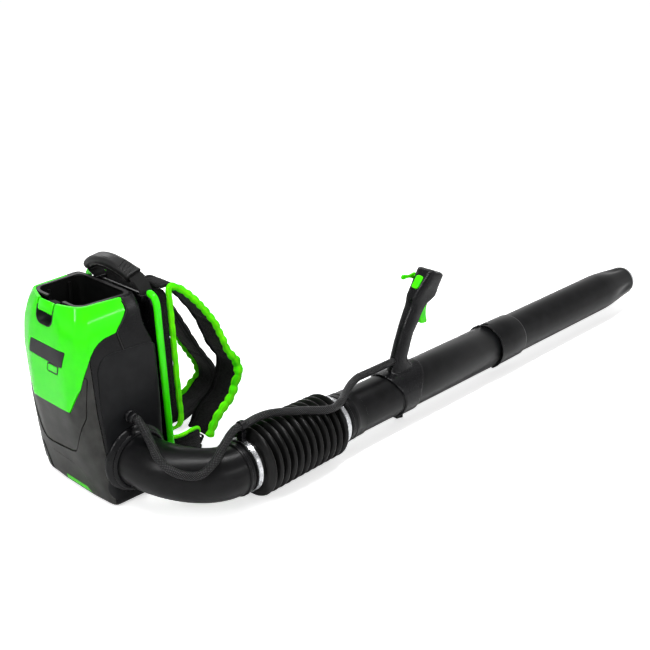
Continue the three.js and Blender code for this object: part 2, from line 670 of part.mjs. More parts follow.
function motorCan() {
  const back = MOTOR_REAR_X;
  const seat = BEARING_RADIUS + RUNNING;
  const cover = turned([
    [SHAFT_RADIUS + 2, back], [MOTOR_RADIUS, back], [MOTOR_RADIUS, MOTOR_FRONT_X - 3],
    [MOTOR_FLANGE_RADIUS, MOTOR_FRONT_X - 3], [MOTOR_FLANGE_RADIUS, MOTOR_FRONT_X],
    [MOTOR_RADIUS - MOTOR_WALL, MOTOR_FRONT_X], [MOTOR_RADIUS - MOTOR_WALL, back + MOTOR_WALL],
    [seat + 2, back + MOTOR_WALL], [seat + 2, back + MOTOR_WALL + BEARING_WIDTH],
    [seat, back + MOTOR_WALL + BEARING_WIDTH], [seat, back + MOTOR_WALL], [SHAFT_RADIUS + 2, back + MOTOR_WALL],
  ], INNER_ROUND);
  return cover.translate([0, FAN_Y, FAN_Z]);
}

function impeller() {
  const rear = VOLUTE_REAR_X + VOLUTE_WALL + 4;
  const front = rear + IMPELLER_DEPTH;
  const bore = SHAFT_RADIUS + SEAM;
  const plate = tube(IMPELLER_RADIUS, bore, rear, rear + IMPELLER_PLATE, INNER_ROUND);
  const hub = tube(HUB_RADIUS, bore, rear, rear + IMPELLER_DEPTH * 0.7, SMALL_ROUND);
  const shroud = tube(IMPELLER_RADIUS, IMPELLER_EYE, front - IMPELLER_PLATE, front, INNER_ROUND);
  let wheel = plate.add(hub).add(shroud);
  const bladeLine = [[26, 0], [38, 8], [50, 20], [IMPELLER_RADIUS * 0.86, 33]];
  const blade = prismX(bandOutline(bladeLine, 2, 4), rear + 1, front - 1);
  for (let i = 0; i < IMPELLER_BLADES; i += 1) {
    wheel = wheel.add(blade.rotate([(i * 360) / IMPELLER_BLADES, 0, 0]));
  }
  return wheel.translate([0, FAN_Y, FAN_Z]);
}

function intakeGrille() {
  const x0 = FRONT_X - SHELL_WALL;
  let grille = tube(GRILLE_RADIUS, GRILLE_RADIUS - 5, x0, FRONT_X, INNER_ROUND).translate([0, FAN_Y, FAN_Z]);
  const pitch = (2 * GRILLE_RADIUS) / (GRILLE_BARS + 1);
  for (let i = 1; i <= GRILLE_BARS; i += 1) {
    const offset = i * pitch - GRILLE_RADIUS;
    const half = Math.sqrt(GRILLE_RADIUS ** 2 - offset ** 2) - 2;
    const z = FAN_Z + offset;
    grille = grille.add(block(x0, FRONT_X, FAN_Y - half, FAN_Y + half, z - 1.5, z + 1.5));
  }
  return grille;
}

function controller() {
  const { x, y, z } = CONTROLLER_SIZE;
  const x0 = OUTLET_X - x / 2;
  const y0 = DUCT_END_Y + CONTROLLER_SETBACK;
  const z0 = FAN_Z + SEAM;
  let box = block(x0, x0 + x, y0, y0 + y, z0, z0 + z);
  const pitch = y / FIN_COUNT;
  for (let i = 0; i < FIN_COUNT; i += 1) {
    const at = y0 + (i + 0.5) * pitch;
    box = box.add(block(x0 + 3, x0 + x - 3, at - 1, at + 1, z0 + z - 1, z0 + z + FIN_HEIGHT));
  }
  return box;
}

function addFan(group) {
  const scroll = volute();
  const side = (x0, x1) => scroll.intersect(block(x0, x1, -FAR, FAR, -FAR, FAR));
  add(group, 'volute_rear', side(-FAR, OUTLET_X - SEAM / 2), charcoalPlastic);
  add(group, 'volute_front', side(OUTLET_X + SEAM / 2, FAR), charcoalPlastic);
  add(group, 'motor_can', motorCan(), darkSteel);
  const statorRear = MOTOR_REAR_X + MOTOR_WALL + BEARING_WIDTH + 1;
  const statorFront = MOTOR_FRONT_X - 4;
  const statorRadius = MOTOR_RADIUS - MOTOR_WALL - SEAM;
  const stator = tube(statorRadius, ROTOR_RADIUS + AIR_GAP, statorRear, statorFront, INNER_ROUND);
  add(group, 'motor_stator', stator.translate([0, FAN_Y, FAN_Z]), copper);
  const rotor = tube(ROTOR_RADIUS, SHAFT_RADIUS + SEAM, statorRear, statorFront, SMALL_ROUND);
  add(group, 'motor_rotor', rotor.translate([0, FAN_Y, FAN_Z]), darkSteel);
  const bearingX = MOTOR_REAR_X + MOTOR_WALL + SEAM;
  const bearingSides = SMALL_ROUND * 2;
  const bearing = tube(BEARING_RADIUS, SHAFT_RADIUS + RUNNING, bearingX, bearingX + BEARING_WIDTH, bearingSides);
  add(group, 'bearing_rear', bearing.translate([0, FAN_Y, FAN_Z]), polishedSteel);
  const shaft = rod('x', SHAFT_RADIUS, MOTOR_REAR_X + 3, VOLUTE_REAR_X + SHAFT_FRONT, [FAN_Y, FAN_Z]);
  add(group, 'fan_shaft', shaft, polishedSteel);
  add(group, 'impeller', impeller(), blackPlastic);
  add(group, 'intake_grille', intakeGrille(), blackPlastic);
  add(group, 'controller', controller(), greenBoard);
}

// ---- outlet collar and cable gland, seated on the housing's right side ----
const SIDE_Y = -BASE_HALF_WIDTH;

function outletCollar() {
  const seatDepth = 8;
  const end = COLLAR_LENGTH;
  const bore = COLLAR_BORE;
  const profile = [
    [bore, -seatDepth], [COLLAR_BASE_RADIUS, -seatDepth], [COLLAR_BASE_RADIUS, 2.5], [COLLAR_RIM_RADIUS + 5, 10],
    [COLLAR_RIM_RADIUS + 2, 10], [COLLAR_RIM_RADIUS + 2, 12], [COLLAR_RIM_RADIUS + 3.5, 12],
    [COLLAR_RIM_RADIUS, end], [bore, end],
  ];
  const ring = turned(profile).rotate([0, 0, -90]).translate([OUTLET_X, SIDE_Y, OUTLET_Z]);
  return ring.subtract(housingForm(SEAM, -SEAM, RIM_Z));
}

function cableGland() {
  const profile = [
    [0, -8], [GLAND_RADIUS, -8], [GLAND_RADIUS, 5], [GLAND_RADIUS - 2, 6], [GLAND_RADIUS - 2, GLAND_LENGTH],
    [CABLE_RADIUS + SEAM, GLAND_LENGTH], [CABLE_RADIUS + SEAM, 8], [0, 8],
  ].map(([r, h]) => new THREE.Vector2(r, h));
  const body = toSolid(new THREE.LatheGeometry(profile, 24).rotateZ(Math.PI));
  return body.translate([GLAND_X, SIDE_Y, GLAND_Z]).subtract(housingForm(SEAM, -SEAM, RIM_Z));
}

// ---- elbow ----
const ELBOW_START_Y = SIDE_Y - COLLAR_LENGTH - SEAM;

function elbowCurve() {
  return new THREE.CubicBezierCurve3(
    new THREE.Vector3(OUTLET_X, ELBOW_START_Y, OUTLET_Z),
    new THREE.Vector3(OUTLET_X, ELBOW_START_Y - ELBOW_INLET_DROP, OUTLET_Z),
    new THREE.Vector3(ELBOW_END_X - ELBOW_OUTLET_PULL, TUBE_Y, TUBE_Z),
    new THREE.Vector3(ELBOW_END_X, TUBE_Y, TUBE_Z),
  );
}

// rings along the elbow's line, then straight on along the tube's axis to further stations
function elbowRings(bendRadius, inlet, outlet) {
  const curve = elbowCurve();
  const ring = (centre, forward, radius) => {
    const up = new THREE.Vector3(0, 0, 1).addScaledVector(forward, -forward.z).normalize();
    const across = up.clone().cross(forward);
    return roundSection(radius, ROUND)
      .map(([a, b]) => centre.clone().addScaledVector(across, a).addScaledVector(up, b).toArray());
  };
  const inward = new THREE.Vector3(0, -1, 0);
  const alongTube = new THREE.Vector3(1, 0, 0);
  const start = inlet.map(([radius, y]) => ring(new THREE.Vector3(OUTLET_X, y, OUTLET_Z), inward, radius));
  const bend = Array.from({ length: ELBOW_STEPS }, (_, i) => {
    const at = (i + 0.5) / ELBOW_STEPS;
    return ring(curve.getPoint(at), curve.getTangent(at), bendRadius);
  });
  const end = outlet.map(([radius, x]) => ring(new THREE.Vector3(x, TUBE_Y, TUBE_Z), alongTube, radius));
  return [...start, ...bend, ...end];
}

function elbow() {
  const bore = ELBOW_RADIUS - ELBOW_WALL;
  const spigotBore = SPIGOT_RADIUS - ELBOW_WALL;
  const inletRadius = COLLAR_BORE * FLAT_SHARE - RUNNING;
  const inletY = SIDE_Y - 3;
  const spigotEnd = BELLOWS_X0 - 4;
  const outer = elbowRings(
    ELBOW_RADIUS,
    [[inletRadius, inletY], [inletRadius, ELBOW_START_Y], [ELBOW_RADIUS, ELBOW_START_Y - 1]],
    [
      [ELBOW_RADIUS, ELBOW_END_X - 1], [ELBOW_RADIUS + 3, ELBOW_END_X], [ELBOW_RADIUS + 3, ELBOW_END_X + 7],
      [ELBOW_RADIUS + 1.5, ELBOW_END_X + 8], [ELBOW_RADIUS + 1.5, ELBOW_END_X + 15],
      [SPIGOT_RADIUS, ELBOW_END_X + 16], [SPIGOT_RADIUS, spigotEnd],
    ],
  );
  const inner = elbowRings(
    bore,
    [[bore, inletY + OVERCUT], [bore, ELBOW_START_Y]],
    [[bore, ELBOW_END_X], [spigotBore, ELBOW_END_X + 12], [spigotBore, spigotEnd + OVERCUT]],
  );
  return loft(outer).subtract(loft(inner));
}

// ---- bellows: folds between two clamped cuffs ----
const CUFF_INNER = SPIGOT_RADIUS + SEAM;
const CUFF_OUTER = CUFF_INNER + CUFF_WALL;

function bellows() {
  const pitch = (BELLOWS_X1 - BELLOWS_X0) / BELLOWS_RIBS;
  const outer = [[CUFF_OUTER, BELLOWS_X0 - CUFF_LENGTH], [CUFF_OUTER, BELLOWS_X0]];
  for (let i = 0; i < BELLOWS_RIBS; i += 1) {
    const peak = BELLOWS_RADIUS + ((BELLOWS_END_RADIUS - BELLOWS_RADIUS) * i) / (BELLOWS_RIBS - 1);
    const x = BELLOWS_X0 + i * pitch;
    outer.push([peak - BELLOWS_VALLEY, x + 0.1], [peak, x + pitch * 0.28], [peak, x + pitch * 0.72]);
  }
  outer.push([CUFF_OUTER, BELLOWS_X1], [CUFF_OUTER, BELLOWS_X1 + CUFF_LENGTH]);
  const inner = [
    [CUFF_INNER, BELLOWS_X1 + CUFF_LENGTH], [CUFF_INNER, BELLOWS_X1 - 2], [BELLOWS_BORE - 2, BELLOWS_X1 - 8],
    [BELLOWS_BORE, (BELLOWS_X0 + BELLOWS_X1) / 2], [BELLOWS_BORE - 2, BELLOWS_X0 + 8],
    [CUFF_INNER, BELLOWS_X0 + 2], [CUFF_INNER, BELLOWS_X0 - CUFF_LENGTH],
  ];
  return turned([...outer, ...inner]);
}

function clampBand(x0, screwAngle) {
  const inner = CUFF_OUTER + SEAM;
  const outer = inner + CLAMP_THICKNESS;
  const band = tube(outer, inner, x0, x0 + CLAMP_WIDTH);
  const housing = block(x0 - 1, x0 + CLAMP_WIDTH + 1, -9, 9, outer - 0.6, outer + 6);
  return band.add(housing.rotate([screwAngle, 0, 0]));
}

function cableClip() {
  const seat = CUFF_OUTER + SEAM + CLAMP_THICKNESS + SEAM;
  const x0 = CLIP_X - 6;
  const inner = CABLE_RADIUS + SEAM;
  const ring = tube(inner + 2.5, inner, x0, x0 + 12, 20).translate([0, 0, CLIP_HEIGHT]);
  const foot = block(x0, x0 + 12, -9, 9, seat, CLIP_HEIGHT - inner - 0.5);
  const clear = rod('x', seat, x0 - 1, x0 + 13, [0, 0], ROUND);
  return ring.add(foot).subtract(clear);
}

// ---- straight tubes ----
function tubeConnector() {
  const bore = SPIGOT_RADIUS - ELBOW_WALL;
  const spigotStart = BELLOWS_X1 + 4;
  const shoulder = BELLOWS_X1 + CUFF_LENGTH + SEAM;
  const socket = REAR_TUBE_RADIUS + SEAM;
  return turned([
    [bore, spigotStart], [SPIGOT_RADIUS, spigotStart], [SPIGOT_RADIUS, shoulder], [CUFF_OUTER + 1, shoulder],
    [CUFF_OUTER + 1, shoulder + 8], [CUFF_OUTER - 0.8, shoulder + 9], [CUFF_OUTER - 0.8, shoulder + 17],
    [CUFF_OUTER + 0.2, shoulder + 18], [CUFF_OUTER + 0.2, shoulder + 26], [socket + 2, shoulder + 28],
    [socket + 2, CONNECTOR_END_X], [socket, CONNECTOR_END_X], [socket, CONNECTOR_END_X - SOCKET_DEPTH],
    [bore, CONNECTOR_END_X - SOCKET_DEPTH],
  ]);
}

function rearTube() {
  const x0 = CONNECTOR_END_X - SOCKET_DEPTH + SEAM;
  const spigotOuter = MIDDLE_TUBE_RADIUS - TUBE_WALL - SEAM;
  const spigotInner = spigotOuter - TUBE_WALL;
  return turned([
    [REAR_TUBE_RADIUS, x0], [REAR_TUBE_RADIUS, TUBE_JOIN_X - SEAM], [spigotOuter, TUBE_JOIN_X - SEAM],
    [spigotOuter, TUBE_JOIN_X + JOIN_SPIGOT], [spigotInner, TUBE_JOIN_X + JOIN_SPIGOT],
    [spigotInner, TUBE_JOIN_X - 8], [REAR_TUBE_RADIUS - TUBE_WALL, TUBE_JOIN_X - 8],
    [REAR_TUBE_RADIUS - TUBE_WALL, x0],
  ]);
}

const SLEEVE_BORE = (MIDDLE_TUBE_RADIUS + RUNNING) / FLAT_SHARE;

// bayonet lugs at the top and the bottom of the middle tube
function lug(reach, margin) {
  const half = LUG_WIDTH / 2 + margin;
  return block(LUG_X - margin, LUG_X + LUG_LENGTH + margin, -half, half, MIDDLE_TUBE_RADIUS - 1, reach);
}

function middleTube() {
  const end = SLEEVE_X + SLEEVE_ENGAGEMENT;
  const pipe = tube(MIDDLE_TUBE_RADIUS, MIDDLE_TUBE_RADIUS - TUBE_WALL, TUBE_JOIN_X, end);
  const top = lug(MIDDLE_TUBE_RADIUS + LUG_HEIGHT, 0);
  return pipe.add(top).add(top.rotate([180, 0, 0]));
}

// L-shaped slot: the lug enters along X and the sleeve turns over it
function bayonetSlot() {
  const reach = SLEEVE_RADIUS + OVERCUT;
  const cut = lug(reach, SEAM);
  let slot = cut;
  const steps = 5;
  for (let i = 1; i <= steps; i += 1) {
    slot = slot.add(cut.rotate([(-i * (TWIST_ANGLE + 2)) / steps, 0, 0]));
  }
  const half = LUG_WIDTH / 2 + SEAM;
  const entry = block(SLEEVE_X - OVERCUT, LUG_X + 1, -half, half, MIDDLE_TUBE_RADIUS - 1, reach);
  return slot.add(entry.rotate([-(TWIST_ANGLE + 2), 0, 0]));
}

const flute = (angle) => Math.max(0, Math.cos(FLUTES * angle)) ** 2;

function nozzleTube() {
  const stop = SLEEVE_X + SLEEVE_ENGAGEMENT + SEAM;
  const sleeveEnd = SLEEVE_X + SLEEVE_LENGTH;
  const length = NOZZLE_END_X - TAPER_X;
  const even = (radius) => () => radius;
  const fluted = (radius, share) => (angle) => radius - FLUTE_DEPTH * share * flute(angle);
  const span = NOZZLE_RADIUS - NOZZLE_END_RADIUS;
  const outer = [
    ringX(SLEEVE_X, even(SLEEVE_RADIUS + 1.5)), ringX(SLEEVE_X + 5, even(SLEEVE_RADIUS + 1.5)),
    ringX(SLEEVE_X + 6, even(SLEEVE_RADIUS)), ringX(sleeveEnd, even(SLEEVE_RADIUS - 1)),
    ringX(sleeveEnd + 3, even(NOZZLE_RADIUS)), ringX(TAPER_X, even(NOZZLE_RADIUS)),
    ringX(TAPER_X + length * 0.3, fluted(NOZZLE_RADIUS - span * 0.2, 0)),
    ringX(TAPER_X + length * 0.55, fluted(NOZZLE_RADIUS - span * 0.5, 0.5)),
    ringX(TAPER_X + length * 0.75, fluted(NOZZLE_RADIUS - span * 0.75, 1)),
    ringX(TAPER_X + length * 0.92, fluted(NOZZLE_RADIUS - span * 0.93, 0.4)),
    ringX(NOZZLE_END_X, even(NOZZLE_END_RADIUS)),
  ];
  const inner = [
    ringX(NOZZLE_END_X + OVERCUT, even(NOZZLE_END_RADIUS - TUBE_WALL)),
    ringX(TAPER_X + length * 0.9, even(NOZZLE_END_RADIUS - TUBE_WALL)),
    ringX(TAPER_X + length * 0.75, fluted(NOZZLE_RADIUS - span * 0.75 - TUBE_WALL, 1)),
    ringX(TAPER_X + length * 0.3, even(NOZZLE_RADIUS - span * 0.2 - TUBE_WALL)),
    ringX(TAPER_X, even(NOZZLE_RADIUS - TUBE_WALL)), ringX(stop, even(NOZZLE_RADIUS - TUBE_WALL)),
    ringX(stop - 0.01, even(SLEEVE_BORE)), ringX(SLEEVE_X - OVERCUT, even(SLEEVE_BORE)),
  ];
  const slot = bayonetSlot();
  return loft(outer).subtract(loft(inner.reverse())).subtract(slot).subtract(slot.rotate([180, 0, 0]));
}

function wearRing() {
  const outer = NOZZLE_END_RADIUS - TUBE_WALL - SEAM;
  return tube(outer, outer - 1.8, NOZZLE_END_X - 12, NOZZLE_END_X + WEAR_RING_STANDOUT);
}

// ---- control handle: two halves with a ring that slides on the tube ----
// sections of the grip and its head: height above the tube's axis, rear and front X, half width,
// how square the section is and how far its rear face is crowned
const GRIP_SECTIONS = [
  { z: 46, rear: 556, front: 650, half: 24, power: 2.2, crown: 0 },
  { z: 58, rear: 565, front: 636, half: 20, power: 2.2, crown: 0 },
  { z: 72, rear: 572, front: 624, half: 18, power: 2.2, crown: 0 },
  { z: 84, rear: 576.5, front: 621, half: 17.5, power: 2.2, crown: 0 },
  { z: 98, rear: 581.5, front: 626, half: 17.5, power: 2.3, crown: 0 },
  { z: 118, rear: 588, front: 632, half: 17.5, power: 2.3, crown: 0 },
  { z: 140, rear: 597, front: 641, half: 17.5, power: 2.3, crown: 0 },
  { z: 158, rear: 604, front: 655, half: 18, power: 2.4, crown: 0 },
  { z: 180, rear: 615.5, front: 668, half: 18, power: 2.6, crown: 0 },
  { z: 198, rear: 626, front: 684, half: 18.5, power: 3, crown: 1 },
  { z: 209, rear: 630.5, front: 713, half: 19, power: 4, crown: 2 },
  { z: 222, rear: 633, front: 717, half: 19.5, power: 5, crown: 4 },
  { z: 231, rear: 639, front: 719.5, half: 20.5, power: 5, crown: 7 },
  { z: 257, rear: 661.5, front: 730, half: HEAD_HALF_WIDTH, power: 5, crown: 8 },
  { z: 270, rear: 673, front: 703, half: HEAD_HALF_WIDTH - 0.5, power: 5, crown: 7 },
  { z: 277, rear: 679, front: 692, half: HEAD_HALF_WIDTH - 3, power: 4, crown: 3 },
];
const BUTTON_FACE = { from: [640.5, 232.7], to: [675.1, 272.5] };
const TRIGGER_CAVITY = [
  [646, 138], [647, 160], [650, 184], [653, 204], [656, 220], [690, 222], [706, 208], [700, 190], [692, 138],
];
const HANDLE_BORE = MIDDLE_TUBE_RADIUS + RUNNING;

// box that lies on the handle's rear face, at a depth measured inward from that face
function boxOnRearFace(length, width, outside, inside) {
  const [[x0, z0], [x1, z1]] = [BUTTON_FACE.from, BUTTON_FACE.to];
  const angle = Math.atan2(z1 - z0, x1 - x0);
  const geometry = new THREE.BoxGeometry(length, width, outside + inside);
  geometry.translate(0, 0, (outside - inside) / 2).rotateY(-angle).translate((x0 + x1) / 2, 0, (z0 + z1) / 2);
  return toSolid(geometry);
}

function handleRing() {
  const reach = HANDLE_RING_RADIUS + OVERCUT;
  const outline = prismY([
    [HANDLE_RING_X0, -reach], [HANDLE_RING_X0, 0], [HANDLE_RING_X0 - RING_REAR_SLANT * reach, reach],
    [HANDLE_RING_X1 + RING_FRONT_SLANT * reach, reach], [HANDLE_RING_X1, 0], [HANDLE_RING_X1, -reach],
  ], -FAR, FAR);
  const bar = rod('x', HANDLE_RING_RADIUS, HANDLE_RING_X0 - reach, HANDLE_RING_X1 + reach, [0, 0], ROUND);
  return bar.intersect(outline);
}

function gripForm() {
  const sides = 16;
  const bent = (value, power) => Math.sign(value) * Math.abs(value) ** (2 / power);
  const rings = GRIP_SECTIONS.map(({ z, rear, front, half, power, crown }) =>
    Array.from({ length: sides }, (_, i) => {
      const angle = ((i + 0.5) / sides) * 2 * Math.PI;
      const along = bent(Math.cos(angle), power);
      const across = bent(Math.sin(angle), power);
      const inset = along < 0 ? crown * across ** 2 : 0;
      return [(rear + front) / 2 + (along * (front - rear)) / 2 + inset, across * half, z];
    }));
  return loft(rings);
}

function handleBody() {
  const grip = gripForm();
  const boss = rod('z', KNOB_BOSS, -HANDLE_RING_RADIUS - 3, -HANDLE_RING_RADIUS + 4, [KNOB_X, 0]);
  const bore = rod('x', HANDLE_BORE, 0, FAR * 2, [0, 0], ROUND);
  const cavity = prismY(TRIGGER_CAVITY, -TRIGGER_WIDTH / 2 - 0.8, TRIGGER_WIDTH / 2 + 0.8);
  const pinHalf = TRIGGER_WIDTH / 2 + 5;
  const pin = rod('y', TRIGGER_PIN_RADIUS + SEAM, -pinHalf, pinHalf, [TRIGGER_PIVOT.x, TRIGGER_PIVOT.z]);
  const button = boxOnRearFace(
    BUTTON_LENGTH + 2 * RUNNING, BUTTON_WIDTH + 2 * RUNNING, OVERCUT,
    BUTTON_THICKNESS - BUTTON_STANDOUT + BUTTON_TRAVEL + 0.5,
  );
  const leverPost = rod('y', 3 + RUNNING, HEAD_HALF_WIDTH - 9, FAR, [LEVER_PIVOT.x, LEVER_PIVOT.z]);
  const stud = rod('z', KNOB_STUD + RUNNING, -FAR, 0, [KNOB_X, 0]);
  const cable = rod('x', CABLE_RADIUS + 2 * SEAM, CABLE_POCKET_X0, CABLE_POCKET_X1, [0, CABLE_SEAT_Z], 20);
  return handleRing().add(grip).add(boss).subtract(bore).subtract(cavity).subtract(pin).subtract(button)
    .subtract(leverPost).subtract(stud).subtract(cable);
}

function trigger() {
  const blade = [
    [664, 213], [683, 214], [694, 203], [684, 186], [684, 168], [689, 150], [686, 146], [665, 150],
    [663, 156], [662, 178], [660, 196],
  ];
  const half = TRIGGER_WIDTH / 2;
  const hub = rod('y', TRIGGER_HUB, -half, half, [TRIGGER_PIVOT.x, TRIGGER_PIVOT.z]);
  const hole = rod('y', TRIGGER_PIN_RADIUS + RUNNING, -FAR, FAR, [TRIGGER_PIVOT.x, TRIGGER_PIVOT.z]);
  return prismY(blade, -half, half).add(hub).subtract(hole);
}

function cruiseLever() {
  const y0 = HEAD_HALF_WIDTH + SEAM;
  const y1 = y0 + LEVER_THICKNESS;
  const { x, z } = LEVER_PIVOT;
  const hub = rod('y', LEVER_HUB, y0, y1, [x, z]);
  const post = rod('y', 3, HEAD_HALF_WIDTH - 8, y0 + 1, [x, z]);
  const arm = prismY(bandOutline([[x, z], [LEVER_TIP.x, LEVER_TIP.z]], LEVER_WIDTH, 2), y0, y1);
  const tip = rod('y', LEVER_WIDTH * 0.7, y0, y1 + 4, [LEVER_TIP.x, LEVER_TIP.z]);
  return hub.add(post).add(arm).add(tip);
}

function clampKnob() {
  const lobes = 5;
  const outline = Array.from({ length: 40 }, (_, i) => {
    const angle = (i / 40) * 2 * Math.PI;
    const radius = KNOB_RADIUS * (0.9 + 0.1 * Math.cos(lobes * angle));
    return [KNOB_X + Math.cos(angle) * radius, Math.sin(angle) * radius];
  });
  const top = -HANDLE_RING_RADIUS - 3 - SEAM;
  const stud = rod('z', KNOB_STUD, top - 1, -HANDLE_RING_RADIUS + 2, [KNOB_X, 0]);
  return prismZ(outline, top - KNOB_HEIGHT, top).add(stud);
}

function addHandle(group) {
  const body = handleBody();
  const half = (y0, y1) => body.intersect(block(0, FAR * 3, y0, y1, -FAR, FAR * 2));
  add(group, 'handle_left', half(SEAM / 2, FAR), blackPlastic);
  add(group, 'handle_right', half(-FAR, -SEAM / 2), blackPlastic);
  add(group, 'trigger', trigger(), greenGloss);
  const pinHalf = TRIGGER_WIDTH / 2 + 4.5;
  const { x, z } = TRIGGER_PIVOT;
  add(group, 'trigger_pin', rod('y', TRIGGER_PIN_RADIUS, -pinHalf, pinHalf, [x, z]), darkSteel);
  const button = boxOnRearFace(BUTTON_LENGTH, BUTTON_WIDTH, BUTTON_STANDOUT, BUTTON_THICKNESS - BUTTON_STANDOUT);
  add(group, 'turbo_button', button, greenGloss);
  add(group, 'cruise_lever', cruiseLever(), greenGloss);
  add(group, 'clamp_knob', clampKnob(), blackRubber);
}

// everything on the tube's axis stands in one group, placed on that axis
function addTubeLine(group) {
  const line = new THREE.Group();
  line.position.set(0, TUBE_Y, TUBE_Z);
  group.add(line);
  add(line, 'bellows', bellows(), blackRubber);
  add(line, 'clamp_band_rear', clampBand(CLIP_X - CLAMP_WIDTH / 2, 180), polishedSteel);
  add(line, 'clamp_band_front', clampBand(BELLOWS_X1 + 6, 180), polishedSteel);
  add(line, 'cable_clip', cableClip(), blackPlastic);
  add(line, 'tube_connector', tubeConnector(), blackPlastic);
  add(line, 'rear_tube', rearTube(), blackPlastic);
  add(line, 'middle_tube', middleTube(), blackPlastic);
  add(line, 'nozzle_tube', nozzleTube(), blackPlastic);
  add(line, 'nozzle_wear_ring', wearRing(), polishedSteel);
  addHandle(line);
}

// ---- control cable: gland to clip, over the bellows, and up into the handle ----
const CLIP_Z = TUBE_Z + CLIP_HEIGHT;
const SEAT_Z = TUBE_Z + CABLE_SEAT_Z;
const CABLE_LOWER = [
  [GLAND_X, SIDE_Y - 10, GLAND_Z], [GLAND_X, SIDE_Y - 16, GLAND_Z], [GLAND_X, SIDE_Y - 22, GLAND_Z],
  [-46, -161, 183], [-48, -178, 170], [-56, -204, 159], [-64, -233, 145], [-58, -262, 130], [-40, -284, 120],
  [-16, -299, 118], [17, -301, 132], [52, -288, 148], [82, -278, 161], [CLIP_X - 14, TUBE_Y, CLIP_Z],
  [CLIP_X - 7, TUBE_Y, CLIP_Z], [CLIP_X - CABLE_JOIN / 2, TUBE_Y, CLIP_Z],
];
const CABLE_MIDDLE = [
  [CLIP_X + CABLE_JOIN / 2, TUBE_Y, CLIP_Z], [CLIP_X + 7, TUBE_Y, CLIP_Z], [CLIP_X + 14, TUBE_Y, CLIP_Z],
  [156, -272, 167], [192, -278, 167], [255, -307, 160], [309, -328, 150], [334, -327, 147], [353, -322, 149],
  [376, -308, 144], [406, -290, 144], [436, -279, 151], [460, TUBE_Y, SEAT_Z], [470, TUBE_Y, SEAT_Z],
  [CABLE_JOIN_X - CABLE_JOIN / 2, TUBE_Y, SEAT_Z],
];
const CABLE_UPPER = [
  [CABLE_JOIN_X + CABLE_JOIN / 2, TUBE_Y, SEAT_Z], [520, TUBE_Y, SEAT_Z], [560, TUBE_Y, SEAT_Z],
  [584, TUBE_Y, SEAT_Z],
];

function addCable(group) {
  add(group, 'cable_gland', cableGland(), blackPlastic);
  add(group, 'cable_lower', cord(CABLE_LOWER, 28), blackRubber);
  add(group, 'cable_middle', cord(CABLE_MIDDLE, 24), blackRubber);
  add(group, 'cable_upper', cord(CABLE_UPPER, 6), blackRubber);
}

// ---- harness frame ----
const frameRearX = (z) => FRAME_TOP_X + (FRAME_LEAN * (FRAME_TOP_Z - z)) / FRAME_TOP_Z;
const frameFrontX = (z) => frameRearX(z) + FRAME_THICKNESS;

function backFrame() {
  const slab = prismY([
    [frameRearX(FRAME_TOP_Z), FRAME_TOP_Z], [frameFrontX(FRAME_TOP_Z), FRAME_TOP_Z],
    [frameFrontX(0), 0], [frameRearX(0), 0],
  ], -FRAME_HALF_WIDTH, FRAME_HALF_WIDTH);
  const w = FRAME_HALF_WIDTH;
  const c = FRAME_CORNER;
  const outline = [
    [-w, 0], [w, 0], [w, FRAME_TOP_Z - c], [w - c, FRAME_TOP_Z], [c - w, FRAME_TOP_Z], [-w, FRAME_TOP_Z - c],
  ];
  const window = (z0, z1) => block(0, FAR, -w * 0.45, w * 0.45, z0, z1);
  const half = CARRY_STRAP_WIDTH / 2;
  const anchor = (y) => block(ANCHOR_X - half, ANCHOR_X + half, y - 6, y + 6, FRAME_TOP_Z - 12, FRAME_TOP_Z);
  return slab.intersect(prismX(outline, 0, FAR)).subtract(window(60, 215)).subtract(window(262, 380))
    .add(anchor(-CARRY_FOOT_Y)).add(anchor(CARRY_FOOT_Y));
}

function rubberMount(y, z) {
  const bar = rod('x', MOUNT_RADIUS, FRONT_X + SEAM, FRAME_TOP_X + FRAME_LEAN + 20, [y, z], SMALL_ROUND);
  const ahead = prismY([
    [frameRearX(FAR) - SEAM, FAR], [FAR, FAR], [FAR, -OVERCUT], [frameRearX(-OVERCUT) - SEAM, -OVERCUT],
  ], -FAR, FAR);
  return bar.subtract(ahead);
}

// hard edging along a side of the frame and round its top corner
function frameEdging(side) {
  const reach = EDGING_RADIUS + SEAM * 3;
  const x = (z) => frameRearX(z) + FRAME_THICKNESS / 2;
  const corner = FRAME_HALF_WIDTH - FRAME_CORNER;
  const y = FRAME_HALF_WIDTH + reach;
  const top = FRAME_TOP_Z + reach;
  const diagonal = FRAME_CORNER / 2 + reach * 0.8;
  const line = [
    [corner + 3, top], [corner + 8, top - 1], [corner + diagonal, FRAME_TOP_Z - FRAME_CORNER + diagonal],
    [y, FRAME_TOP_Z - FRAME_CORNER], [y, 370], [y, 280], [y, 160], [y, 60], [y, EDGING_RADIUS],
  ];
  return sweep(line.map(([py, z]) => [x(z), side * py, z]), roundSection(EDGING_RADIUS, 8), [1, 0, 0], 22);
}

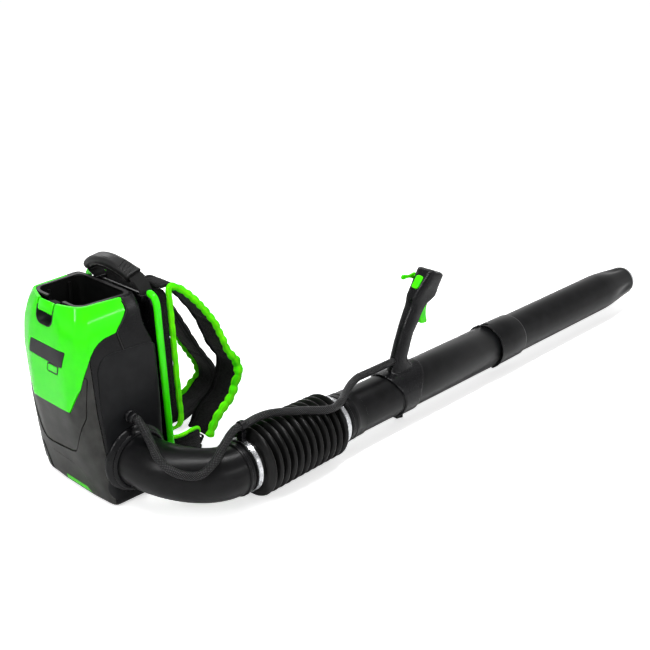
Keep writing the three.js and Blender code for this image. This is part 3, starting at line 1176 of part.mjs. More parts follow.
// padded panel: flat behind, crowned in front with sewn channels, sides drawn in
function backPad() {
  const columns = 10;
  const rows = 15;
  const height = PAD_TOP_Z - PAD_BOTTOM_Z;
  const channel = (v) => [0.32, 0.66].reduce((sum, at) => sum + Math.exp(-(((v - at) * 26) ** 2)), 0);
  const centreChannel = (u) => Math.exp(-((u * 9) ** 2));
  const ring = (depthShare, drawIn) => {
    const points = [];
    const edge = (u, v) => {
      const z = PAD_BOTTOM_Z + drawIn + v * (height - 2 * drawIn);
      const x = frameFrontX(z) + SEAM + depthShare * PAD_SIDE;
      points.push([x, u * (PAD_HALF_WIDTH - drawIn), z]);
    };
    for (let i = 0; i < columns; i += 1) edge(-1 + (2 * i) / columns, 0);
    for (let j = 0; j < rows; j += 1) edge(1, j / rows);
    for (let i = 0; i < columns; i += 1) edge(1 - (2 * i) / columns, 1);
    for (let j = 0; j < rows; j += 1) edge(-1, 1 - j / rows);
    return points;
  };
  const surface = (depthShare, crowned) => {
    const points = [];
    for (let j = 0; j <= rows; j += 1) {
      for (let i = 0; i <= columns; i += 1) {
        const u = -1 + (2 * i) / columns;
        const v = j / rows;
        const z = PAD_BOTTOM_Z + v * height;
        const swell = (1 - u ** 4) * (1 - (2 * v - 1) ** 6);
        const bulge = crowned ? swell * (PAD_CROWN - PAD_CHANNEL * Math.min(1, channel(v) + centreChannel(u))) : 0;
        points.push([frameFrontX(z) + SEAM + depthShare * PAD_SIDE + bulge, u * PAD_HALF_WIDTH, z]);
      }
    }
    return points;
  };
  const front = surface(1, true);
  const back = surface(0, false);
  const waist = ring(0.5, PAD_DRAW_IN);
  const positions = [...front, ...back, ...waist].flat();
  const index = [];
  const at = (i, j) => j * (columns + 1) + i;
  const backStart = front.length;
  const waistStart = front.length + back.length;
  for (let j = 0; j < rows; j += 1) {
    for (let i = 0; i < columns; i += 1) {
      const [a, b, c, d] = [at(i, j), at(i + 1, j), at(i + 1, j + 1), at(i, j + 1)];
      index.push(a, b, c, a, c, d);
      index.push(backStart + a, backStart + c, backStart + b, backStart + a, backStart + d, backStart + c);
    }
  }
  const rim = [];
  for (let i = 0; i < columns; i += 1) rim.push(at(i, 0));
  for (let j = 0; j < rows; j += 1) rim.push(at(columns, j));
  for (let i = columns; i > 0; i -= 1) rim.push(at(i, rows));
  for (let j = rows; j > 0; j -= 1) rim.push(at(0, j));
  rim.forEach((a, i) => {
    const next = (i + 1) % rim.length;
    const b = rim[next];
    const [wa, wb] = [waistStart + i, waistStart + next];
    index.push(b, a, wa, b, wa, wb);
    index.push(wb, wa, backStart + a, wb, backStart + a, backStart + b);
  });
  const geometry = new THREE.BufferGeometry();
  geometry.setAttribute('position', new THREE.Float32BufferAttribute(positions, 3));
  geometry.setIndex(index);
  const rebate = block(0, FRAME_TOP_X + PAD_REBATE, -FAR, FAR, FRAME_TOP_Z - 14, FAR * 2);
  return toSolid(geometry).subtract(rebate);
}

// ---- shoulder straps, webbing and hip pads ----
const STRAP_ROOT = [FRAME_TOP_X + 24, PAD_TOP_Z + STRAP_THICKNESS / 2 + 1];
const RIGHT_STRAP = [
  STRAP_ROOT, [88, 430], [121, 409], [160, 368], [200, 312], [232, 240], [258, 198], [249, 155], [228, 122],
  [196, 98], [184, 80], [167, 54],
];
const LEFT_STRAP = [
  STRAP_ROOT, [90, 430], [127, 398], [188, 322], [256, 204], [312, 100], [268, 58], [204, 30],
];
const RIGHT_WEBBING_MIDDLE = [110, 22];
const LEFT_WEBBING_MIDDLE = [120, 14];

const shoulderStrap = (line, side) => {
  const inner = side * (STRAP_CENTRE_Y - STRAP_WIDTH / 2);
  const outer = side * (STRAP_CENTRE_Y + STRAP_WIDTH / 2);
  return prismY(bandOutline(line, STRAP_THICKNESS, 30), Math.min(inner, outer), Math.max(inner, outer));
};

// the lower end of a strap: where it stops and which way it points
function strapEnd(line) {
  const [x0, z0] = line[line.length - 2];
  const [x1, z1] = line[line.length - 1];
  const length = Math.hypot(x1 - x0, z1 - z0);
  return { at: [x1, z1], way: [(x1 - x0) / length, (z1 - z0) / length] };
}

const onward = ({ at, way }, distance) => [at[0] + way[0] * distance, at[1] + way[1] * distance];

function buckle(line, side) {
  const end = strapEnd(line);
  const outline = bandOutline([onward(end, SEAM * 2), onward(end, BUCKLE_LENGTH)], BUCKLE_THICKNESS, 1);
  const y = side * STRAP_CENTRE_Y;
  return prismY(outline, y - BUCKLE_WIDTH / 2, y + BUCKLE_WIDTH / 2);
}

function webbing(line, middle, side) {
  const end = strapEnd(line);
  const start = onward(end, BUCKLE_LENGTH + SEAM * 2);
  const foot = 9;
  const points = [start, onward(end, BUCKLE_LENGTH + 10), middle, [frameFrontX(foot) + SEAM * 2, foot]];
  const y = side * STRAP_CENTRE_Y;
  return prismY(bandOutline(points, WEBBING_THICKNESS, 12), y - WEBBING_WIDTH / 2, y + WEBBING_WIDTH / 2);
}

function hipPad(side) {
  const root = FRAME_HALF_WIDTH - 10;
  const line = [
    [frameFrontX(HIP_BOTTOM_Z) + 2.1, root], [78, root + 6], [98, root + 8], [124, root + 5], [148, root - 3],
  ];
  return prismZ(bandOutline(line.map(([x, y]) => [x, side * y]), HIP_THICKNESS, 12), HIP_BOTTOM_Z, HIP_TOP_Z);
}

// ---- carry handle: webbing over the top, threaded through a rubber grip ----
const CARRY_FOOT_Z = FRAME_TOP_Z + SEAM * 2;
// a place on the strap: shares of its lean, of the feet's half spacing and of its rise
const carryAt = (lean, y, rise) => [
  ANCHOR_X - lean * CARRY_LEAN, y * CARRY_FOOT_Y, FRAME_TOP_Z + rise * CARRY_RISE,
];
const CARRY_LINE = [
  [ANCHOR_X, -CARRY_FOOT_Y, CARRY_FOOT_Z], [ANCHOR_X, -CARRY_FOOT_Y, CARRY_FOOT_Z + 5],
  carryAt(0.07, -0.92, 0.35), carryAt(0.27, -0.66, 0.62), carryAt(0.73, -0.25, 0.88), carryAt(1, 0.28, 1),
  carryAt(0.93, 0.78, 0.86), carryAt(0.75, 1.04, 0.62), carryAt(0.4, 1.12, 0.36),
  [ANCHOR_X, CARRY_FOOT_Y, CARRY_FOOT_Z + 5], [ANCHOR_X, CARRY_FOOT_Y, CARRY_FOOT_Z],
];
const CARRY_GRIP_LINE = [
  carryAt(0.28, -0.63, 0.635), carryAt(0.73, -0.25, 0.88), carryAt(1, 0.28, 1), carryAt(0.93, 0.78, 0.86),
  carryAt(0.75, 1.04, 0.62), carryAt(0.66, 1.08, 0.54),
];
const CARRY_SIDE = [1, 0, 0.15];

function carryGrip() {
  const body = sweep(CARRY_GRIP_LINE, softSection(CARRY_GRIP_WIDTH, CARRY_GRIP_THICKNESS), CARRY_SIDE, 16);
  const channel = softSection(CARRY_STRAP_WIDTH + SEAM * 3, CARRY_STRAP_THICKNESS + SEAM * 3);
  return body.subtract(sweep(CARRY_LINE, channel, CARRY_SIDE, 28));
}

function addHarness(group) {
  add(group, 'back_frame', backFrame(), blackPlastic);
  const mountY = FRAME_HALF_WIDTH - 24;
  const mountPlaces = [[-mountY, 36], [mountY, 36], [-mountY, 300], [mountY, 300]];
  mountPlaces.forEach(([y, z], i) => add(group, `rubber_mount_${i + 1}`, rubberMount(y, z), blackRubber));
  add(group, 'frame_edging_right', frameEdging(-1), greenGloss);
  add(group, 'frame_edging_left', frameEdging(1), greenGloss);
  add(group, 'back_pad', backPad(), blackFabric);
  add(group, 'shoulder_strap_right', shoulderStrap(RIGHT_STRAP, -1), greenFabric);
  add(group, 'shoulder_strap_left', shoulderStrap(LEFT_STRAP, 1), greenFabric);
  add(group, 'strap_buckle_right', buckle(RIGHT_STRAP, -1), blackPlastic);
  add(group, 'strap_buckle_left', buckle(LEFT_STRAP, 1), blackPlastic);
  add(group, 'strap_webbing_right', webbing(RIGHT_STRAP, RIGHT_WEBBING_MIDDLE, -1), blackFabric);
  add(group, 'strap_webbing_left', webbing(LEFT_STRAP, LEFT_WEBBING_MIDDLE, 1), blackFabric);
  add(group, 'hip_pad_right', hipPad(-1), blackFabric);
  add(group, 'hip_pad_left', hipPad(1), blackFabric);
  const band = softSection(CARRY_STRAP_WIDTH, CARRY_STRAP_THICKNESS);
  add(group, 'carry_strap', sweep(CARRY_LINE, band, CARRY_SIDE, 28), blackFabric);
  add(group, 'carry_grip', carryGrip(), blackRubber);
}

// ---- the whole blower ----
addHousing(part);
addBatteryBay(part);
addFan(part);
add(part, 'outlet_collar', outletCollar(), blackPlastic);
add(part, 'elbow', elbow(), blackPlastic);
addTubeLine(part);
addCable(part);
addHarness(part);

export default part;
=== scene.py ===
# Backpack leaf blower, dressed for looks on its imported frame.
# Lengths are written in millimetres and turned into metres where a mesh is made.
import json
import math

import bmesh
import bpy
from mathutils import Matrix, Vector, noise
from mathutils.bvhtree import BVHTree


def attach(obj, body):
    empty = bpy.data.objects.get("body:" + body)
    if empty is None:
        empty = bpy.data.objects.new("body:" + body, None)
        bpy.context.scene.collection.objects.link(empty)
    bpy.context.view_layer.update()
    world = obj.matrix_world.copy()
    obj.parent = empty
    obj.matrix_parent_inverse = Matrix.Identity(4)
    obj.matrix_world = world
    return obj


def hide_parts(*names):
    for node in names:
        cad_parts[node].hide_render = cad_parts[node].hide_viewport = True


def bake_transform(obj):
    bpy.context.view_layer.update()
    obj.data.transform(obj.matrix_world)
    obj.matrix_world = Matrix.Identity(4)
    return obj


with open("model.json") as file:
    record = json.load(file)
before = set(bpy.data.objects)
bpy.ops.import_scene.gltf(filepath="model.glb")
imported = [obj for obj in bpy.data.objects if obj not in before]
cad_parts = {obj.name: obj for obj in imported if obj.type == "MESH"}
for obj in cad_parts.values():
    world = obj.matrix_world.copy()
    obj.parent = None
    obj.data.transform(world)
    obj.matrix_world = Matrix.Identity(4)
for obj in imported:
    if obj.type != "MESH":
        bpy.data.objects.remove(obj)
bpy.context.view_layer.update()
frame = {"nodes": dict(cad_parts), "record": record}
nodes = frame["nodes"]

MM = 0.001
SEAM = 1.3  # visible parting line between moulded pieces

# ---- sizes shared with the frame ----
TUBE_Y, TUBE_Z = -276.0, 77.0  # the blow tube's axis, which runs along X
LINE = (0, TUBE_Y, TUBE_Z)
OUTLET_X, OUTLET_Z = -41.0, 98.0
SIDE_Y = -124.0  # the housing's right side
RIM_Z = 432.0
FRAME_TOP_Z = 418.0
ROUND = 96  # sides of large round pieces
SIDES = ((-1, "right"), (1, "left"))


# ---------------------------------------------------------------- meshes
def new_object(name, bm, material, smooth=40.0):
    """A mesh object from a bmesh in millimetres, shaded smooth below an angle."""
    bmesh.ops.remove_doubles(bm, verts=bm.verts, dist=1e-5)
    bmesh.ops.scale(bm, vec=(MM, MM, MM), verts=bm.verts)
    mesh = bpy.data.meshes.new(name)
    bm.to_mesh(mesh)
    bm.free()
    obj = bpy.data.objects.new(name, mesh)
    bpy.context.scene.collection.objects.link(obj)
    if material is not None:
        mesh.materials.append(material)
    shade(obj, smooth)
    return obj


def shade(obj, angle):
    mesh = obj.data
    mesh.polygons.foreach_set("use_smooth", [True] * len(mesh.polygons))
    mesh.set_sharp_from_angle(angle=math.radians(angle))
    mesh.update()


def modify(obj, kind, **settings):
    modifier = obj.modifiers.new(kind.title(), kind)
    for key, value in settings.items():
        setattr(modifier, key, value)
    return modifier


def apply_all(obj):
    graph = bpy.context.evaluated_depsgraph_get()
    mesh = bpy.data.meshes.new_from_object(obj.evaluated_get(graph))
    obj.modifiers.clear()
    old = obj.data
    obj.data = mesh
    bpy.data.meshes.remove(old)
    return obj


def bevel(obj, width, segments, angle=28.0):
    modify(obj, "BEVEL", width=width * MM, segments=segments, limit_method="ANGLE",
           angle_limit=math.radians(angle), harden_normals=True, use_clamp_overlap=True)
    return obj


def boolean(obj, cutter, operation="DIFFERENCE"):
    modify(obj, "BOOLEAN", object=cutter, operation=operation, solver="EXACT")
    apply_all(obj)
    bpy.data.objects.remove(cutter)
    return obj


def bm_loft(rings, wrap=False):
    """Skin over rings with the same number of corners. wrap joins the last ring to the first."""
    bm = bmesh.new()
    rows = [[bm.verts.new(p) for p in ring] for ring in rings]
    count = len(rows[0])
    pairs = list(zip(rows, rows[1:])) + ([(rows[-1], rows[0])] if wrap else [])
    for a, b in pairs:
        for i in range(count):
            j = (i + 1) % count
            bm.faces.new((a[i], a[j], b[j], b[i]))
    if not wrap:
        bm.faces.new(rows[0][::-1])
        bm.faces.new(rows[-1])
    bmesh.ops.recalc_face_normals(bm, faces=bm.faces)
    return bm


AXES = {
    "x": lambda a, b, t: (t, a, b),
    "y": lambda a, b, t: (a, t, b),
    "z": lambda a, b, t: (a, b, t),
}


def bm_prism(outline, axis, low, high):
    place = AXES[axis]
    return bm_loft([[place(a, b, low) for a, b in outline], [place(a, b, high) for a, b in outline]])


def box(x0, x1, y0, y1, z0, z1):
    return bm_prism([(x0, y0), (x1, y0), (x1, y1), (x0, y1)], "z", z0, z1)


def turns(count):
    """Angles of a full turn in equal steps."""
    return [2 * math.pi * i / count for i in range(count)]


def circle(radius, count):
    return [(radius * math.cos(a), radius * math.sin(a)) for a in turns(count)]


def bm_lathe(profile, origin, axis, sides=ROUND, wrap=True):
    """Body of revolution from (station, radius) points; with wrap they go round a hollow section."""
    place = AXES[axis]
    rings = []
    for station, radius in profile:
        rings.append([tuple(o + v for o, v in zip(origin, place(a, b, station))) for a, b in circle(radius, sides)])
    return bm_loft(rings, wrap=wrap)


def cylinder(low, high, radius, origin, axis, sides=ROUND):
    """A solid round bar, which cuts a bore."""
    return solid(bm_lathe([(low, radius), (high, radius)], origin, axis, sides, wrap=False))


def spline(points, samples, closed=False):
    """Centripetal Catmull-Rom line through points, evenly sampled by parameter."""
    pts = [Vector(p) for p in points]
    if closed:
        ext = [pts[-1]] + pts + [pts[0], pts[1]]
    else:
        ext = [2 * pts[0] - pts[1]] + pts + [2 * pts[-1] - pts[-2]]
    spans = len(ext) - 3
    out = []
    for s in range(samples + (0 if closed else 1)):
        u = s * spans / samples
        k = min(int(u), spans - 1)
        t = u - k
        p0, p1, p2, p3 = ext[k : k + 4]
        d1 = max((p1 - p0).length, 1e-6) ** 0.5
        d2 = max((p2 - p1).length, 1e-6) ** 0.5
        d3 = max((p3 - p2).length, 1e-6) ** 0.5
        m1 = (p1 - p0) / d1 - (p2 - p0) / (d1 + d2) + (p2 - p1) / d2
        m2 = (p2 - p1) / d2 - (p3 - p1) / (d2 + d3) + (p3 - p2) / d3
        m1, m2 = m1 * d2, m2 * d2
        t2, t3 = t * t, t * t * t
        out.append((2 * t3 - 3 * t2 + 1) * p1 + (t3 - 2 * t2 + t) * m1 + (3 * t2 - 2 * t3) * p2 + (t3 - t2) * m2)
    return out


def even(points, step):
    """The same line with points a fixed distance apart."""
    pts = [Vector(p) for p in points]
    lengths = [0.0]
    for a, b in zip(pts, pts[1:]):
        lengths.append(lengths[-1] + (b - a).length)
    count = max(2, round(lengths[-1] / step))
    out, k = [], 0
    for i in range(count + 1):
        target = lengths[-1] * i / count
        while k < len(pts) - 2 and lengths[k + 1] < target:
            k += 1
        span = max(lengths[k + 1] - lengths[k], 1e-9)
        out.append(pts[k].lerp(pts[k + 1], min(max((target - lengths[k]) / span, 0), 1)))
    return out


def frames(points, hint):
    """(point, across, up) along a line: level with a hint, or turning as little as possible."""
    out, across = [], None
    for i, p in enumerate(points):
        forward = (points[min(i + 1, len(points) - 1)] - points[max(i - 1, 0)]).normalized()
        if hint is not None:
            across = (Vector(hint) - forward * forward.dot(Vector(hint))).normalized()
        elif across is None:
            across = forward.orthogonal().normalized()
        else:
            across = (across - forward * across.dot(forward)).normalized()
        out.append((p, across, forward.cross(across)))
    return out


def sweep(name, points, section, material, hint=None, smooth=60.0):
    """A section swept along a line, with UV along it and round it in metres.

    section is a list of points, or a function that gives one from the place 0..1 along the line.
    """
    rings = []
    for i, (p, across, up) in enumerate(frames(points, hint)):
        shape = section(i / (len(points) - 1)) if callable(section) else section
        rings.append([p + across * a + up * b for a, b in shape])
    bm = bmesh.new()
    layer = bm.loops.layers.uv.new("UVMap")
    rows = [[bm.verts.new(p) for p in ring] for ring in rings]
    count = len(rows[0])
    along = [0.0]
    for a, b in zip(points, points[1:]):
        along.append(along[-1] + (b - a).length)
    around = [0.0]
    for i in range(count):
        around.append(around[-1] + (rings[0][(i + 1) % count] - rings[0][i]).length)
    for k, (a, b) in enumerate(zip(rows, rows[1:])):
        for i in range(count):
            j = (i + 1) % count
            face = bm.faces.new((a[i], a[j], b[j], b[i]))
            uv = [(along[k], around[i]), (along[k], around[i + 1]), (along[k + 1], around[i + 1]),
                  (along[k + 1], around[i])]
            for loop, (u, v) in zip(face.loops, uv):
                loop[layer].uv = (u * MM, v * MM)
    bm.faces.new(rows[0][::-1])
    bm.faces.new(rows[-1])
    bmesh.ops.recalc_face_normals(bm, faces=bm.faces)
    return new_object(name, bm, material, smooth)


def rounded(width, height, radius, steps):
    """Rounded rectangle section, centred."""
    out = []
    for cx, cy, a0 in ((1, 1, 0), (-1, 1, 90), (-1, -1, 180), (1, -1, 270)):
        for i in range(steps + 1):
            a = math.radians(a0 + 90 * i / steps)
            out.append((cx * (width / 2 - radius) + radius * math.cos(a),
                        cy * (height / 2 - radius) + radius * math.sin(a)))
    return out


# ---------------------------------------------------------------- materials
class Tree:
    """Short hand for building a node tree."""

    def __init__(self, tree):
        self.tree = tree

    def add(self, kind, **inputs):
        node = self.tree.nodes.new(kind)
        for key, value in inputs.items():
            self.feed(node.inputs[key.replace("_", " ")], value)
        return node

    def feed(self, socket, value):
        if isinstance(value, bpy.types.NodeSocket):
            self.tree.links.new(value, socket)
        elif isinstance(value, (tuple, list)) and len(value) == 3 and socket.type == "RGBA":
            socket.default_value = (*value, 1)
        else:
            socket.default_value = value

    def ramp(self, value, low, high, a=0.0, b=1.0):
        node = self.add("ShaderNodeMapRange", Value=value, From_Min=low, From_Max=high, To_Min=a, To_Max=b)
        return node.outputs[0]

    def math(self, operation, a, b):
        node = self.add("ShaderNodeMath")
        node.operation = operation
        self.feed(node.inputs[0], a)
        self.feed(node.inputs[1], b)
        return node.outputs[0]


class Nodes(Tree):
    """Short hand for a procedural material on the Principled shader."""

    def __init__(self, name, **socket_values):
        self.material = bpy.data.materials.new(name)
        self.material.use_nodes = True
        super().__init__(self.material.node_tree)
        self.shader = self.tree.nodes["Principled BSDF"]
        coords = self.add("ShaderNodeTexCoord").outputs
        self.place, self.uv = coords["Object"], coords["UV"]
        self.set(**socket_values)

    def set(self, **values):
        for key, value in values.items():
            self.feed(self.shader.inputs[key.replace("_", " ")], value)

    def scaled(self, vector, scale, rotation=(0, 0, 0)):
        node = self.add("ShaderNodeMapping", Vector=vector, Scale=scale, Rotation=rotation)
        return node.outputs[0]

    def noise(self, scale, detail=3.0, rough=0.5, vector=None):
        node = self.add("ShaderNodeTexNoise", Vector=vector or self.place, Scale=scale, Detail=detail,
                        Roughness=rough)
        return node.outputs[0]

    def wave(self, scale, vector, direction):
        node = self.add("ShaderNodeTexWave", Vector=vector, Scale=scale, Distortion=0.0)
        node.bands_direction = direction
        return node.outputs["Fac"]

    def blend(self, factor, a, b):
        node = self.add("ShaderNodeMix")
        node.data_type = "RGBA"
        self.feed(node.inputs[0], factor)
        self.feed(node.inputs[6], a)
        self.feed(node.inputs[7], b)
        return node.outputs[2]

    def rounded_normal(self, radius):
        """Softens hard edges in the shading."""
        node = self.add("ShaderNodeBevel", Radius=radius * MM)
        node.samples = 6
        return node.outputs[0]

    def bump(self, height, distance, normal=None):
        node = self.add("ShaderNodeBump", Height=height, Distance=distance * MM, Strength=1.0)
        if normal is not None:
            self.feed(node.inputs["Normal"], normal)
        return node.outputs[0]

    def edges(self):
        """About 0 on flats and rising on sharp edges."""
        node = self.add("ShaderNodeBevel", Radius=1.2 * MM)
        node.samples = 4
        geometry = self.add("ShaderNodeNewGeometry")
        dot = self.add("ShaderNodeVectorMath")
        dot.operation = "DOT_PRODUCT"
        self.feed(dot.inputs[0], node.outputs[0])
        self.feed(dot.inputs[1], geometry.outputs["Normal"])
        return self.ramp(dot.outputs["Value"], 0.99, 0.8)


def plastic(name, color, light, rough, grain=0.02, grain_scale=1400.0, edge_wear_and_highlight=0.35, soft=0.8, shine=0.2, scuffs=0.04):
    """Moulded plastic: faint mottling, spark-eroded grain, and sharp edges lightened as rubbed wear and as painted
    highlight.
    """
    n = Nodes(name)
    mottle = n.ramp(n.noise(35.0, 4.0), 0.35, 0.7)
    base = n.blend(n.math("MULTIPLY", mottle, 0.5), color, light)
    # sharp edges lightened toward the light tone: partly rubbed wear, partly painted highlight along the edges
    base = n.blend(n.math("MULTIPLY", n.edges(), edge_wear_and_highlight), base, light)
    scuff = n.ramp(n.noise(220.0, 5.0, 0.7), 0.5, 0.8)
    roughness = n.math("ADD", n.math("MULTIPLY", scuff, scuffs), rough)
    n.set(Base_Color=base, Roughness=roughness, Specular_IOR_Level=shine)
    n.set(Normal=n.bump(n.noise(grain_scale, 2.0), grain, normal=n.rounded_normal(soft)))
    return n.material


def metal(name, color, rough, stretch=(1, 1, 1)):
    n = Nodes(name)
    lines = n.noise(900.0, 3.0, 0.6, n.scaled(n.place, stretch))
    dull = n.ramp(n.noise(60.0, 3.0), 0.4, 0.75)
    roughness = n.math("ADD", n.math("MULTIPLY", dull, 0.12), n.ramp(lines, 0.3, 0.7, rough, rough + 0.12))
    n.set(Base_Color=n.blend(dull, color, tuple(c * 0.8 for c in color)), Metallic=1.0, Roughness=roughness)
    n.set(Normal=n.bump(lines, 0.01))
    return n.material


def weave(name, color, light, pitch, depth, sheen, rough=0.9, use_uv=False, diagonal=False):
    """Plain woven cloth: two crossing sets of yarns, each yarn a rounded ridge."""
    n = Nodes(name)
    vector = n.uv if use_uv else n.place
    if diagonal:
        vector = n.scaled(vector, (1, 1, 1), (0, 0, math.radians(45)))
    # the wave texture's bands repeat every 2 pi / (20 scale)
    scale = 2 * math.pi / (20 * pitch * MM)
    warp = n.wave(scale, vector, "X")
    weft = n.wave(scale, vector, "Y" if use_uv else "Z")
    height = n.math("MULTIPLY", warp, weft)
    if not use_uv:
        height = n.math("ADD", height, n.math("MULTIPLY", n.wave(scale, vector, "Y"), 0.5))
    fuzz = n.noise(2600.0, 2.0)
    fade = n.ramp(n.noise(18.0, 4.0), 0.35, 0.7)
    tone = n.blend(n.ramp(height, 0.5, 0.95) if diagonal else n.math("MULTIPLY", height, 0.6), color, light)
    tone = n.blend(n.math("MULTIPLY", fade, 0.04 if diagonal else 0.3), tone, light)
    n.set(Base_Color=tone, Roughness=n.ramp(fuzz, 0.3, 0.7, rough - 0.08, rough), Sheen_Weight=sheen,
          Sheen_Roughness=0.5, Specular_IOR_Level=0.15)
    n.set(Normal=n.bump(n.math("ADD", height, n.math("MULTIPLY", fuzz, 0.4)), depth))
    return n.material


def mesh_cloth(name, color, light, pitch):
    """Spacer mesh: a honeycomb of small holes in a dark knit."""
    n = Nodes(name)
    cells = n.add("ShaderNodeTexVoronoi", Vector=n.place, Scale=1 / (pitch * MM))
    holes = n.ramp(cells.outputs["Distance"], 0.25, 0.5)
    fuzz = n.noise(3000.0, 2.0)
    tone = n.blend(holes, light, color)
    wide = n.ramp(n.noise(14.0, 3.0), 0.35, 0.7)
    tone = n.blend(n.math("MULTIPLY", wide, 0.35), tone, light)
    n.set(Base_Color=tone, Roughness=0.92, Sheen_Weight=0.05, Sheen_Roughness=0.5, Specular_IOR_Level=0.12)
    n.set(Normal=n.bump(n.math("SUBTRACT", fuzz, holes), 0.5))
    return n.material


GREEN = (0.03, 0.8, 0.0)
GREEN_LIGHT = (0.05, 0.88, 0.0)
LIME = (0.16, 0.86, 0.0)

green = plastic("green_gloss_plastic", GREEN, GREEN_LIGHT, 0.14, grain=0.001, edge_wear_and_highlight=0.2, shine=0.28, scuffs=0.02)
green_satin = plastic("green_satin_plastic", GREEN, LIME, 0.3, grain=0.008, edge_wear_and_highlight=0.3)
black = plastic("black_satin_plastic", (0.0025, 0.0025, 0.003), (0.009, 0.009, 0.01), 0.26, grain=0.004, shine=0.2)
# a lighter copy of the black shell plastic, for the side panels: painted light on panels that are as black as the
# shell
panel_black_painted_light = plastic("panel_black_painted_light_plastic", (0.005, 0.0053, 0.006), (0.013, 0.0133, 0.0145), 0.32, grain=0.006,
                     shine=0.16)
tube_black = plastic("black_tube_plastic", (0.0025, 0.0025, 0.0028), (0.009, 0.009, 0.01), 0.3, grain=0.002,
                     shine=0.15, soft=0.4)
# the rear cover's edges are lightened strongly: painted highlight that draws its edge lines
charcoal = plastic("charcoal_plastic", (0.022, 0.022, 0.0205), (0.06, 0.06, 0.056), 0.4, grain=0.008, edge_wear_and_highlight=0.9,
                   soft=1.8)
slate = plastic("slate_plastic", (0.014, 0.014, 0.016), (0.028, 0.028, 0.031), 0.4, grain=0.012)
grey = plastic("grey_rim_plastic", (0.016, 0.016, 0.016), (0.03, 0.03, 0.031), 0.42, grain=0.012)
rubber = plastic("black_rubber", (0.002, 0.002, 0.002), (0.008, 0.008, 0.008), 0.3, grain=0.01, shine=0.2)
soft_rubber = plastic("grip_rubber", (0.006, 0.006, 0.006), (0.02, 0.02, 0.02), 0.36, grain_scale=700.0, shine=0.3)
board = plastic("dark_moulding", (0.002, 0.002, 0.002), (0.006, 0.006, 0.006), 0.6, shine=0.1)
steel = metal("polished_steel", (0.72, 0.73, 0.75), 0.16, (0.2, 1, 1))
dark_steel = metal("machined_steel", (0.3, 0.31, 0.32), 0.35)
alloy = metal("cast_alloy", (0.5, 0.51, 0.52), 0.45)
copper = metal("copper_winding", (0.7, 0.3, 0.15), 0.3, (6, 1, 1))
webbing = weave("black_webbing", (0.004, 0.004, 0.004), (0.022, 0.022, 0.022), 1.6, 0.3, 0.04, use_uv=True)
binding = weave("lime_binding", (0.05, 0.8, 0.0), (0.3, 1.0, 0.0), 2.6, 0.7, 0.0, use_uv=True)
braid = weave("braided_sleeve", (0.0015, 0.0015, 0.0015), (0.13, 0.13, 0.135), 3.2, 0.8, 0.0, rough=0.4, use_uv=True,
              diagonal=True)
pad_cloth = mesh_cloth("pad_mesh_cloth", (0.0025, 0.0025, 0.0025), (0.013, 0.013, 0.0135), 2.6)
strap_cloth = mesh_cloth("strap_mesh_cloth", (0.0025, 0.0025, 0.0025), (0.011, 0.011, 0.0115), 2.0)
plain_cloth = weave("black_plain_cloth", (0.003, 0.003, 0.003), (0.014, 0.014, 0.014), 1.1, 0.15, 0.03)

NODE_MATERIALS = {
    "cover_green": green, "shell_black": black, "cover_charcoal": charcoal, "rim_grey": grey,
    "rubber_black": rubber, "steel_bright": steel, "steel_dark": dark_steel, "winding": copper,
    "heat_sink": alloy, "webbing_black": webbing, "strap_black": strap_cloth, "pad_black": pad_cloth,
}
slots = {s["node"]: s["material_slot"] for s in frame["record"]["subparts"]}
for node_name, node in nodes.items():
    node.data.materials.clear()
    node.data.materials.append(NODE_MATERIALS[slots[node_name]])
    shade(node, 35)
    bevel(node, 0.5, 2, 35)


def stand_for(obj, body, slot, *replaced):
    """Puts a finished piece on its body, in place of the frame's nodes."""
    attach(obj, body)
    if replaced:
        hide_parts(*replaced)
    return obj


def add_piece(name, bm, material, smooth, edge, body, slot, *replaced):
    """A finished piece in one call. edge is the bevel's (width, segments) or (width, segments, angle)."""
    return stand_for(bevel(new_object(name, bm, material, smooth), *edge), body, slot, *replaced)


# ---------------------------------------------------------------- camera and light
CAMERA_PLACE = Vector((-1.15235, -1.73584, 1.19693))
CAMERA_HEADING = math.radians(44.1)
CAMERA_DROP = math.radians(22.817)
FOCAL_PIXELS = 1080.0
PICTURE_PIXELS = 650.0

camera_data = bpy.data.cameras.new("camera")
camera_data.sensor_width = 36.0
camera_data.lens = FOCAL_PIXELS / PICTURE_PIXELS * camera_data.sensor_width
camera_data.clip_end = 60.0
camera = bpy.data.objects.new("camera", camera_data)
bpy.context.scene.collection.objects.link(camera)
look = Vector((math.cos(CAMERA_DROP) * math.cos(CAMERA_HEADING),
               math.cos(CAMERA_DROP) * math.sin(CAMERA_HEADING), -math.sin(CAMERA_DROP)))
camera.location = CAMERA_PLACE
camera.rotation_mode = "QUATERNION"
camera.rotation_quaternion = look.to_track_quat("-Z", "Y")
bpy.context.scene.camera = camera


def area_light(name, place, target, size, power):
    data = bpy.data.lights.new(name, "AREA")
    data.shape = "RECTANGLE"
    data.size, data.size_y = size
    data.energy = power
    lamp = bpy.data.objects.new(name, data)
    bpy.context.scene.collection.objects.link(lamp)
    lamp.location = place
    lamp.rotation_mode = "QUATERNION"
    lamp.rotation_quaternion = (Vector(target) - Vector(place)).to_track_quat("-Z", "Y")


area_light("overhead", (0.4, -0.5, 2.2), (0.4, -0.1, 0), (2.8, 0.16), 50)
area_light("key", (-2.4, -0.6, 2.0), (0, -0.1, 0.25), (0.16, 1.2), 26)
area_light("side", (1.2, -3.2, 1.4), (0.6, -0.2, 0.1), (1.8, 0.12), 14)
area_light("back", (1.5, 2.2, 1.8), (0.6, 0, 0.2), (2.5, 0.2), 16)

